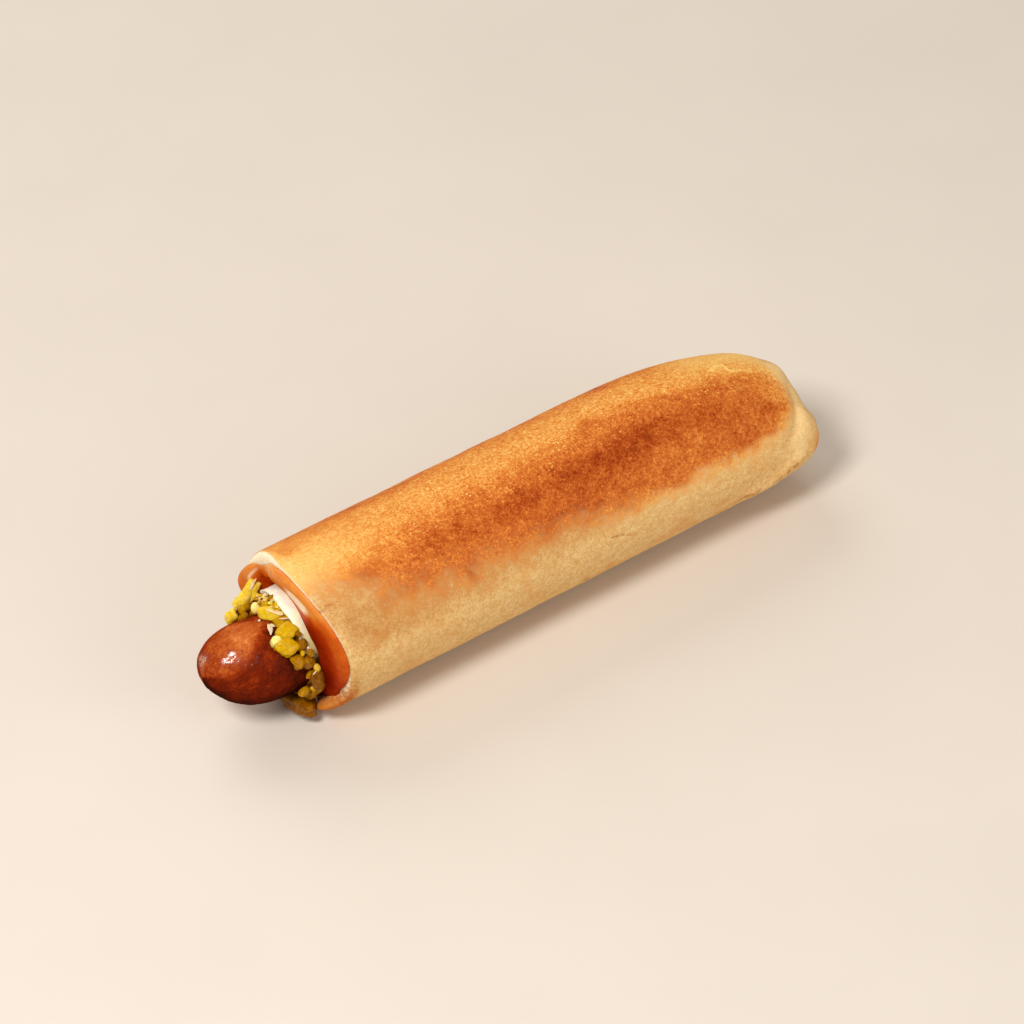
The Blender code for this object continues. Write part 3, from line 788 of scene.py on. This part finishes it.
def make_roll():
    """The tunnel, the dished cut face and the crust as one skin, with a torn lip that hangs forward."""
    blind = steps(FILLED_LENGTH + 2 * MM, SAUSAGE_INSIDE, 7)[:-1][::-1]
    rings = [place(along, ring_on_sausage(along, END_ROOM)) for along in blind]
    rings += [tunnel_ring(along, 0) for along in INSIDE_STATIONS[::-1]]
    turns = np.array([*np.linspace(90, 0, 24, endpoint=False), *np.linspace(0, -90, 12, endpoint=False)])
    turns = np.concatenate([np.full(len(rings), 90.0), turns])
    rings += [mouth_ring(turn, 0) for turn in turns[len(rings):]]
    stations = [*np.arange(RIM_ROUND, STRAIGHT_LENGTH, CRUST_STEP)]
    stations += [*steps(STRAIGHT_LENGTH, ROLL_LENGTH, 110)[1:-1]]
    rings += [place(along, ring_on_crust(along)) for along in stations]
    grid = np.array(rings)
    along = np.array([0.0] * len(turns) + stations)[:, None] * np.ones(SIDES)
    degrees = DEGREES * np.ones_like(along)
    turned = np.concatenate([turns, np.full(len(stations), -90.0)])[:, None]
    crumb = ease(turned + 24 * bump(DEGREES, 54, 34), -52, -28) * (1 - 0.85 * bump(DEGREES, 226, 54))

    details = crust_details(grid, along, degrees)
    height = crust_height(grid, along, stations, crumb, details)
    grid = grid + outwards(grid, len(turns) + 5) * height[..., None]
    by_rim = near_rim(turns, stations)
    grid[..., 0] -= LIP_HANG * bump(DEGREES, 228, 24) * by_rim
    grid[..., 2] = np.maximum(grid[..., 2], 0)

    marks = crust_marks(grid, along, degrees, crumb, details)
    marks["stained"] = bump(degrees, 226, 30) * by_rim
    nose = (MOUTH_X + ROLL_LENGTH, -NOSE_SWING, ROLL_HEIGHT / 2 - NOSE_DROP)
    blind_end = (MOUTH_X + SAUSAGE_INSIDE + END_ROOM, 0, SAUSAGE_HEIGHT)
    roll = skin("roll", grid, crust_look(), marks, (blind_end, nose))
    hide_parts("bun")


# ---------------------------------------------------------------- the sausage

def make_sausage():
    """A capsule with a wrinkled skin, puckered at its free tip where its skin was tied."""
    turns = np.linspace(0, np.pi / 2, 70)[1:]
    tip = TIP_LENGTH * (1 - np.cos(turns)) - SAUSAGE_SHOWS
    straight = np.linspace(TIP_LENGTH - SAUSAGE_SHOWS, 6 * MM, 60)[1:]
    hidden = [*np.linspace(6 * MM, SAUSAGE_INSIDE - TIP_LENGTH, 8)[1:]]
    end = SAUSAGE_INSIDE - TIP_LENGTH * (1 - np.cos(turns[::-1][1::6]))
    stations = [*tip, *straight, *hidden, *end]
    grid = np.array([place_plain(along, ring_on_sausage(along)) for along in stations])
    along = np.array(stations)[:, None] * np.ones(SIDES)
    shows = ease(12 * MM - along, 0, 10 * MM)
    relief = 0.2 * MM * grain(grid, 7 * MM, 3) * shows
    relief += 0.1 * MM * grain(grid * (0.4, 1, 1), 1.8 * MM, 3, 3.0) * shows
    relief += pucker(grid)
    grid = grid + outwards(grid, 80) * relief[..., None]
    across, up = sausage_axis(-SAUSAGE_SHOWS)
    tip_point = (MOUTH_X - SAUSAGE_SHOWS, across, up)
    end_point = (MOUTH_X + SAUSAGE_INSIDE, 0, SAUSAGE_HEIGHT)
    at = along / MM
    greasy = 0.03 + 0.97 * spot(at, DEGREES, (-22.8, 124), (5, 19), 1.5)
    # Marks for the skin's material, among them painted shade and light, painted glints and a painted glint
    # at the tied tip.
    marks = {
        "browned": browned_on(at),
        "greasy": greasy + 0.8 * spot(at, DEGREES, (-28.4, 82), (1.4, 16)),
        "flecks": 0.45 * band(at, -22, 6) * bump(DEGREES, 125, 50),
        "casing": 0.8 * spot(at, DEGREES, (-29.2, 70), (0.9, 20)),
    }
    sausage = skin("fried_sausage", grid, sausage_look(), marks, (tip_point, end_point))
    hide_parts("sausage")


def pucker(grid):
    """A small pit in the skin near the tip, with folds that run out from it."""
    along, angle = PUCKER
    across, up = sausage_axis(along)
    radius = sausage_radius(along)
    centre = np.array([MOUTH_X + along, across + radius * np.cos(angle), up + radius * np.sin(angle)])
    away = grid - centre
    reach = lengths(away) / MM
    spin = np.arctan2(away[..., 2], away[..., 1] - away[..., 0])
    folds = np.cos(7 * spin + 1.5 * np.sin(2 * spin)) * band(reach, 2.6, 1.7)
    return 0.13 * MM * folds - 0.75 * MM * band(reach, 0, 1.1)


def browned_on(at):
    """How dark the skin is: its fried tone, with painted shade on its near side, underneath and where it
    enters the relish, and painted light on top.
    """
    border = np.interp(at, (-25, -19, -14, -10), (150, 132, 106, 94))
    # Painted shade and light: darker on the near side, underneath and by the relish, paler on top.
    browned = 0.36 + 0.32 * ease(DEGREES, border - 12, border + 14) * (DEGREES < 270)
    browned -= 0.16 * band(at, -18, 7) * bump(DEGREES, 86, 62)
    browned += 0.06 * ease(-at, 25, 30) + 0.06 * ease(at, -16, -10)
    browned += 0.3 * bump(DEGREES, 238, 60) + 0.16 * bump(DEGREES, 20, 70)
    browned += 0.06 * ease(at, -14, -8) * ease(DEGREES, 120, 150) * (DEGREES < 300)
    return browned


def place_plain(along, points):
    """World points of a ring that doesn't lean with the mouth."""
    return np.column_stack([np.full(len(points), MOUTH_X + along), points])


# ---------------------------------------------------------------- the dressings

def coat_edge():
    """Where on the rim the red dressing stops: inside it at the top left, over it elsewhere."""
    edge = -36 + 50 * bump(DEGREES, 54, 44) - 26 * bump(DEGREES, 2, 34) - 12 * bump(DEGREES, 170, 24)
    return edge + 46 * ease(DEGREES, 176, 202) * ease(DEGREES, 266, 248) + 14 * bump(DEGREES, 234, 24)


def coat_thickness(share):
    """A rounded edge, then a bead, then an even coat; thickest where it lobes over the rim."""
    lobe = 0.5 + 0.9 * bump(DEGREES, 12, 30) + 0.6 * bump(DEGREES, 78, 44)
    lobe = lobe + 0.35 * np.sin(np.radians(DEGREES) * 13 + 4 * share) * bump(DEGREES, 34, 46)
    rounded = np.sqrt(1 - (1 - np.clip(share / 0.3, 0, 1)) ** 2)
    bead = 1 + 0.3 * band(share, 0.3, 0.2)
    return RED_COAT * rounded * (1 + (bead * lobe - 1) * (1 - ease(share, 0.5, 1.0)))


def red_marks(edge, inwards):
    """How dark, milky and wet the coat is, by the angle round it and the way in from its edge; the darkness
    is partly painted shade and the milky streak partly a painted highlight.
    """
    across = np.sin(np.radians(edge + (90 - edge) * inwards))
    near = ease(DEGREES + 12 * across, 122, 150) * (DEGREES < 300)
    # Darker into the tunnel, on the near side and in the top pocket: partly thicker dressing, partly painted
    # shade; paler at the top edge, partly painted light.
    deep = 0.05 + 0.34 * near + 0.18 * bump(DEGREES, 8, 26) + 0.25 * bump(DEGREES, 205, 40)
    deep = deep - 0.2 * bump(DEGREES, 66, 18) * (1 - ease(across, 0.1, 0.4)) + 0.06 * bump(DEGREES, 100, 50)
    deeper_in = 0.15 + 0.46 * near + 0.4 * bump(DEGREES, 40, 40) + 0.3 * bump(DEGREES, 192, 26)
    deep = deep + deeper_in * ease(across, 0.0, 0.75)
    deep = deep + 0.6 * bump(DEGREES, 69, 20) * ease(across, 0.5, 0.8)
    # The pale streak beside the cream and on the lobe's fold: partly cream, partly a painted highlight; its
    # pink edge is painted too.
    smear = ease(across, 0.02, 0.22) * (1 - ease(across, 0.45, 0.62)) * bump(DEGREES, 112, 22)
    return {
        "deep": deep,
        "smear": smear + 0.5 * bump(DEGREES, 33, 22) * band(across, 0.28, 0.09),
        "blush": band(across, 0.68, 0.14) * bump(DEGREES, 110, 28),
        "wet": (0.1 + 0.35 * bump(DEGREES, 76, 60)) * (1 - ease(across, 0.1, 0.5)),
    }


def make_red_dressing():
    """A coat between the bread and the other fillings: its back on the bread, its front out of the dish."""
    edge = coat_edge()
    shares = np.array([0, 0.01, 0.03, 0.06, *np.linspace(0.1, 1.0, 36)])
    turns = [edge + (90 - edge) * share for share in shares]
    back = [mouth_ring(turn, GAP) for turn in turns]
    back += [tunnel_ring(along, GAP) for along in INSIDE_STATIONS]
    waves = 1 + 0.16 * np.array([noise.noise(Vector((3 * np.cos(a), 3 * np.sin(a), 5))) for a in ANGLES])
    fill = DISH_FILL[0] + DISH_FILL[1] * ease(DEGREES, 96, 150) * ease(DEGREES, 236, 200)
    lifts = [GAP + coat_thickness(share) * waves for share in shares]
    front = [mouth_ring(turn, lift, fill) for turn, lift in zip(turns, lifts)][1:]
    front += [tunnel_ring(along, GAP + RED_COAT) for along in INSIDE_STATIONS]
    grid = np.array(back + front[::-1])
    inwards = np.concatenate([shares, [1.0] * 8, shares[:0:-1]])[:, None] * np.ones(SIDES)
    marks = red_marks(edge, inwards)
    coat = skin("tomato_dressing", grid, red_look(), marks, joined=True)
    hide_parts("red_dressing")


def cream_depth():
    """Depth of the cream's crescent at each angle."""
    start, crown, end = CREAM_SPREAD
    past_crown = DEGREES - crown
    side = np.where(past_crown < 0, crown - start, end - crown)
    share = np.clip(np.abs(past_crown) / side, 0, 1)
    return CREAM_DEPTH * np.where(past_crown < 0, np.sqrt(1 - share ** 2), 1 - share ** 1.4)


def hollow_at(along):
    """How far the filling stays off the coat on the mouth's near side, less further in."""
    return HOLLOW * ease(DEGREES, 116, 152) * ease(DEGREES, 222, 186) * (1 - ease(along, 4 * MM, 20 * MM))


def make_cream_dressing():
    """A ribbon with a crescent section, bulging out of the mouth; it starts rounded, and its tail slides
    further out and slants."""
    depth = cream_depth()
    used = np.flatnonzero(depth > 0)
    middle = BREAD_WALL + GAP + RED_COAT + GAP + depth / 2
    slide = 1 + CREAM_SLIDE / CREAM_BULGE * ease(DEGREES, 108, 160)
    start, full = CREAM_START
    slide *= np.sqrt(1 - np.clip((full - DEGREES) / (full - start), 0, 1) ** 2)
    slant = CREAM_SLANT * ease(DEGREES, 112, 140) * depth / 2
    turns = np.radians(np.linspace(88, 0, 20))
    stations = [(-CREAM_BULGE * np.sin(turn), np.cos(turn)) for turn in turns]
    stations += [(along, 1) for along in INSIDE_STATIONS]
    rings = []
    for along, fullness in stations:
        out = along if along > 0 else along * slide
        centre = middle + hollow_at(along) - CREAM_FOLD * (1 - fullness) * bump(DEGREES, 44, 32)
        outer = place(out + slant * fullness, under_crust(centre - depth / 2 * fullness))[used]
        inner = place(out - slant * fullness, under_crust(centre + depth / 2 * fullness))[used]
        rings.append(np.concatenate([outer, inner[::-1]]))
    tail = ease(DEGREES, 100, 165)[used]
    tail = np.concatenate([tail, tail[::-1]]) * np.ones((len(rings), 1))
    cream = skin("cream", np.array(rings), cream_look(), {"tail": tail})
    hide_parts("cream_dressing")


# ---------------------------------------------------------------- the relish

# Chopped pickle: its kind, the angle round the sausage in degrees, how far out of the mouth and how far off
# the sausage's skin its middle lies, its length, width and thickness in mm, how far its length is turned
# round the sausage from straight out and tilted off it, in degrees, and how bright it is, which is its own
# tone with painted shade on the pieces that lie in shade.
PICKLES = (
    ("cut", 32, 3.3, 7.6, 9.8, 3.4, 4.0, -14, -38, 0.90),
    ("cut", 31, 6.0, 6.4, 6.2, 4.4, 4.2, 8, -20, 0.92),
    ("cut", 31, 8.0, 3.6, 4.0, 3.4, 3.0, 20, 0, 0.53),
    ("cut", 28, 10.6, 3.0, 2.8, 1.1, 2.6, -80, 0, 0.02),
    ("cut", 27, 12.4, 3.0, 4.8, 3.8, 3.6, -80, 0, 0.92),
    ("cut", 24, 9.6, 0.9, 6.0, 3.2, 2.8, -82, 0, 0.38),
    ("round", 60, 7.6, 2.2, 2.8, 3.4, 3.4, 100, 0, 1.12),
    ("cut", 85, 6.3, 2.2, 9.4, 4.0, 3.6, 116, 0, 0.86),
    ("cut", 72, 5.8, 3.2, 4.4, 2.4, 2.4, 60, 20, 0.62),
    ("cut", 116, 6.9, 2.4, 5.8, 5.2, 4.2, 112, 0, 0.68),
    ("disc", 124, 11.4, 1.9, 3.1, 3.1, 2.8, 0, 0, 1.12),
    ("cut", 133, 9.4, 2.3, 5.4, 5.2, 4.6, 112, 0, 0.65),
    ("cut", 138, 5.6, 2.8, 3.8, 2.6, 2.6, 96, 0, 0.34),
    ("cut", 154, 8.0, 2.0, 4.0, 3.6, 3.4, 110, 0, 0.44),
    ("cut", 160, 5.4, 2.4, 4.8, 3.6, 3.2, 100, 0, 0.3),
    ("round", 167, 3.8, 3.4, 2.8, 2.0, 2.2, 110, 0, 0.74),
    ("cut", 187, 3.7, 2.9, 7.6, 3.9, 3.4, 100, 0, 0.28),
    ("round", 203, 7.4, 1.9, 4.0, 2.6, 2.6, 20, 0, 0.46),
    ("cut", 214, 4.2, 2.2, 6.4, 3.0, 3.0, 60, 0, 0.42),
    ("cut", 238, 6.4, 4.5, 11.4, 6.4, 5.2, -107, 20, 0.26),
    ("cut", 258, 5.2, 2.0, 5.4, 4.0, 3.4, 10, 0, 0.3),
    ("cut", 283, 5.4, 1.9, 5.0, 3.6, 3.2, 75, 0, 0.6),
    ("cut", 308, 6.6, 2.0, 5.6, 4.2, 3.6, 35, 0, 0.6),
    ("cut", 333, 6.0, 2.2, 5.2, 4.4, 3.8, 55, 0, 0.7),
    ("cut", 356, 7.6, 2.6, 6.0, 4.4, 4.0, 15, 0, 0.66),
    ("cut", 12, 5.6, 3.4, 5.2, 4.2, 4.0, 65, 0, 0.6),
    ("shred", 60, 4.6, 4.9, 3.0, 1.5, 1.1, 20, 30, 0.72),
    ("shred", 68, 5.0, 4.5, 2.6, 1.1, 1.0, 70, 10, 0.95),
    ("cut", 74, 4.2, 4.8, 2.2, 1.3, 1.2, 130, 20, 0.46),
    ("shred", 84, 4.4, 4.5, 3.0, 1.2, 1.0, 90, 30, 0.8),
    ("cut", 92, 4.6, 4.4, 1.6, 1.2, 1.0, 40, 10, 0.6),
    ("cut", 126, 5.2, 4.2, 2.2, 1.4, 1.2, 110, 20, 0.3),
    ("cut", 148, 4.6, 4.2, 2.4, 1.6, 1.4, 80, 0, 0.4),
    ("round", 146, 6.6, 3.6, 1.8, 1.3, 1.1, 70, 0, 0.66),
    ("cut", 176, 5.6, 2.0, 2.8, 2.2, 2.0, 60, 0, 0.5),
    ("cut", 196, 5.0, 3.2, 2.6, 2.0, 1.6, 120, 0, 0.5),
    ("shred", 56, 5.6, 4.5, 3.2, 1.2, 0.9, 100, 0, 0.56),
    ("shred", 63, 6.0, 4.1, 3.4, 1.0, 0.9, 60, 20, 0.9),
    ("shred", 70, 6.4, 3.9, 3.0, 1.1, 0.9, 130, 0, 0.5),
    ("shred", 78, 5.6, 4.2, 3.4, 1.1, 0.9, 110, 10, 1.0),
    ("shred", 86, 5.6, 4.2, 2.8, 1.0, 0.9, 60, 0, 0.62),
    ("cut", 50, 5.0, 5.1, 2.6, 1.4, 1.2, 140, 20, 0.8),
    ("shred", 66, 4.4, 5.2, 2.6, 0.8, 0.7, 150, 10, 1.1),
    ("shred", 80, 4.6, 4.9, 2.4, 0.8, 0.7, 40, 10, 1.1),
    ("shred", 73, 5.6, 4.5, 2.6, 0.8, 0.7, 90, 20, 0.7),
    ("shred", 90, 4.8, 4.5, 2.6, 0.9, 0.7, 130, 0, 0.9),
)
# Onion, on the same terms.
ONIONS = (
    ("shred", 103, 9.8, 0.7, 3.6, 1.3, 0.5, 66, 0, 0.9),
    ("shred", 99, 8.4, 0.6, 1.6, 0.8, 0.5, 120, 0, 0.8),
    ("shred", 106, 5.8, 4.2, 3.6, 0.4, 0.4, 155, 0, 0.8),
    ("shred", 80, 10.0, 0.3, 1.2, 0.7, 0.4, 30, 0, 0.9),
    ("shred", 56, 5.0, 4.9, 2.4, 1.3, 0.7, 30, 30, 0.45),
    ("shred", 64, 4.4, 5.3, 2.4, 1.2, 0.7, 100, 10, 0.6),
    ("shred", 71, 5.4, 4.7, 2.2, 1.2, 0.7, 20, 0, 0.4),
    ("shred", 79, 4.8, 4.9, 2.4, 1.2, 0.7, 70, 25, 0.5),
    ("shred", 88, 5.4, 4.2, 3.0, 1.0, 0.7, 118, 10, 0.6),
    ("shred", 66, 6.4, 4.0, 2.0, 1.1, 0.7, 130, 0, 0.4),
    ("shred", 143, 4.6, 4.2, 1.0, 0.8, 0.6, 40, 0, 0.9),
    ("shred", 171, 5.3, 3.9, 2.2, 0.4, 0.4, 210, 0, 0.6),
    ("shred", 118, 5.4, 4.4, 1.4, 0.8, 0.6, 90, 0, 0.5),
    ("shred", 112, 6.6, 3.9, 2.2, 0.7, 0.5, 20, 0, 0.5),
    ("cut", 36, 2.6, 8.5, 4.2, 2.4, 1.1, -14, -38, 0.6),
    ("cut", 92, 6.2, 3.6, 5.0, 1.7, 0.8, 115, 0, 0.55),
    ("shred", 62, 5.6, 4.6, 2.4, 1.2, 0.7, 60, 20, 0.7),
    ("shred", 76, 6.2, 4.2, 2.2, 0.8, 0.6, 110, 10, 0.6),
)


def lie_on_sausage(angle, out, off, turn, tilt):
    """A piece's place: out of the mouth and off the skin, its length turned and tilted from straight out."""
    angle, turn, tilt = np.radians((angle, turn, tilt))
    across, up = sausage_axis(-out)
    outward = Vector((0, np.cos(angle), np.sin(angle)))
    middle = Vector((MOUTH_X - out, across, up)) + outward * (SAUSAGE_RADIUS + off)
    middle.x += MOUTH_LEAN * middle.y
    round_it = Vector((0, -np.sin(angle), np.cos(angle)))
    flat = Vector((-np.cos(turn), 0, 0)) + round_it * np.sin(turn)
    length = flat * np.cos(tilt) + outward * np.sin(tilt)
    side = outward.cross(length).normalized()
    lie = Matrix((length, side, length.cross(side))).transposed()
    return Matrix.Translation(middle) @ lie.to_4x4()


def chopped(kind, size, chance):
    """A knife-cut chunk with soft edges, a disc cut across, a rounded end or a thin shred, all uneven."""
    mesh = bmesh.new()
    shift = Vector([chance.uniform(-9, 9) for _ in range(3)])
    uneven = 0.3
    if kind == "cut":
        bmesh.ops.create_cube(mesh, size=1.0)
        for vertex in mesh.verts:
            vertex.co += Vector([chance.uniform(-0.15, 0.15) for _ in range(3)])
        bmesh.ops.bevel(mesh, geom=mesh.edges, offset=0.36, segments=4, profile=0.5, affect="EDGES")
        bmesh.ops.subdivide_edges(mesh, edges=mesh.edges, cuts=2, use_grid_fill=True)
    elif kind == "disc":
        uneven = 0.08
        bmesh.ops.create_cone(mesh, cap_ends=True, segments=28, radius1=0.5, radius2=0.5, depth=1.0)
        rims = [edge for edge in mesh.edges if abs(edge.verts[0].co.z - edge.verts[1].co.z) < 0.1]
        bmesh.ops.bevel(mesh, geom=rims, offset=0.12, segments=4, profile=0.5, affect="EDGES")
    else:
        uneven = 0.6 if kind == "shred" else 0.1
        bmesh.ops.create_uvsphere(mesh, u_segments=28, v_segments=18, radius=0.5)
    for vertex in mesh.verts:
        swell = 1 + uneven * noise.noise(vertex.co * 1.7 + shift) + 0.05 * noise.noise(vertex.co * 5 + shift)
        vertex.co = Vector([co * side * swell for co, side in zip(vertex.co, size)])
    return mesh


def make_piece(name, look, row, chance):
    kind, angle, out, off, length, width, thickness, turn, tilt, ripe = row
    mesh = chopped(kind, (length * MM, width * MM, thickness * MM), chance)
    lie = lie_on_sausage(angle, out * MM, off * MM, turn, tilt)
    bmesh.ops.transform(mesh, matrix=lie, verts=mesh.verts)
    data = bpy.data.meshes.new(name)
    mesh.to_mesh(data)
    mesh.free()
    stored = data.attributes.new("ripe", "FLOAT", "POINT")
    stored.data.foreach_set("value", [ripe] * len(data.vertices))
    data.shade_smooth()
    return dress(name, data, look)


def make_relish():
    look = pickle_look()
    chance = random.Random(7)
    for number, row in enumerate(PICKLES):
        make_piece(f"pickle_{number}", look, row, chance)
    white = onion_look()
    for number, row in enumerate(ONIONS):
        make_piece(f"onion_{number}", white, row, chance)
    core = relish_core(look)
    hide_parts("relish")


def relish_core(look):
    """The wet pulp between the pieces: a sleeve round the sausage that swells out of the mouth."""
    trough = np.where(cream_depth() > 0, cream_depth() + GAP, 0)
    height = FILLING_ROOM - GAP - RED_COAT - GAP - trough
    reach = PULP_REACH * (1 + 0.5 * bump(DEGREES, 30, 60) + 0.25 * bump(DEGREES, 230, 40))
    reach *= 1 - 0.35 * bump(DEGREES, 165, 45)
    inside = [*INSIDE_STATIONS[:0:-1], *np.linspace(20 * MM, 2 * MM, 8)]
    inner = [place(along, off_sausage(along, PULP_OFF_SKIN)) for along in inside]
    outer = [place(along, off_sausage(along, height - hollow_at(along))) for along in inside]
    height = np.maximum(height - hollow_at(0), PULP_EDGE)
    for turn in np.radians(np.linspace(0, 90, 20)):
        along = -reach * np.sin(turn)
        inner.append(place(along, off_sausage(along, PULP_OFF_SKIN)))
        outer.append(place(along, off_sausage(along, PULP_EDGE + (height - PULP_EDGE) * np.cos(turn))))
    lumps = np.array(outer)
    bumpy = 0.5 * grain(lumps, 2.2 * MM, 2) + 0.3 * grain(lumps, 0.9 * MM, 2, 4.0)
    lumps[5:-1] += MM * normals(lumps)[5:-1] * bumpy[5:-1, :, None]
    grid = np.concatenate([np.array(inner), lumps[::-1]])
    # Brighter on top and darker round the rest: painted shade in the gaps between the pieces.
    ripe = (0.3 + 0.34 * bump(DEGREES, 90, 60)) * np.ones(grid.shape[:2])
    return skin("relish_pulp", grid, look, {"ripe": ripe}, joined=True)


# ---------------------------------------------------------------- the stage

# Area lights: the direction each stands in, its distance and size in metres, its power and its tint.
LIGHTS = {
    "key": ((-0.54, -0.22, 0.81), 1.2, 0.35, 10.5, (1, 0.98, 0.95)),
    "back": ((0.1, 0.9, 0.75), 1.4, 0.9, 7, (1, 0.98, 0.95)),
    "front": ((0.35, -1.0, 0.45), 1.6, 1.2, 9.6, (1, 1, 1)),
}
SKY = (1, 0.87, 0.74, 1)
SKY_STRENGTH = 0.32


def make_floor():
    bpy.ops.mesh.primitive_plane_add(size=6)
    floor = bpy.context.object
    floor.name = "floor"
    floor.data.materials.append(floor_look())


def make_light(name, towards, distance, size, power, tint):
    """A soft square light that shines at the object from a direction."""
    lamp = bpy.data.lights.new(name, "AREA")
    lamp.size = size
    lamp.energy = power
    lamp.color = tint
    light = bpy.data.objects.new(name, lamp)
    bpy.context.scene.collection.objects.link(light)
    direction = Vector(towards).normalized()
    light.location = direction * distance
    light.rotation_euler = direction.to_track_quat("Z", "Y").to_euler()


def make_stage():
    make_floor()
    for name, row in LIGHTS.items():
        make_light(name, *row)
    world = bpy.data.worlds.new("studio")
    world.use_nodes = True
    sky = world.node_tree.nodes["Background"]
    sky.inputs["Color"].default_value = SKY
    sky.inputs["Strength"].default_value = SKY_STRENGTH
    bpy.context.scene.world = world
    bpy.context.scene.view_settings.view_transform = "Standard"


def make_camera():
    eye = bpy.data.cameras.new("camera")
    eye.lens = LENS
    eye.sensor_width = SENSOR
    camera = bpy.data.objects.new("camera", eye)
    bpy.context.scene.collection.objects.link(camera)
    back = CAMERA_RIGHT.cross(CAMERA_UP)
    turn = Matrix((CAMERA_RIGHT, CAMERA_UP, back)).transposed()
    camera.matrix_world = Matrix.Translation(CAMERA_AT) @ turn.to_4x4()
    bpy.context.scene.camera = camera


make_camera()
make_stage()
make_roll()
make_sausage()
make_red_dressing()
make_cream_dressing()
make_relish()
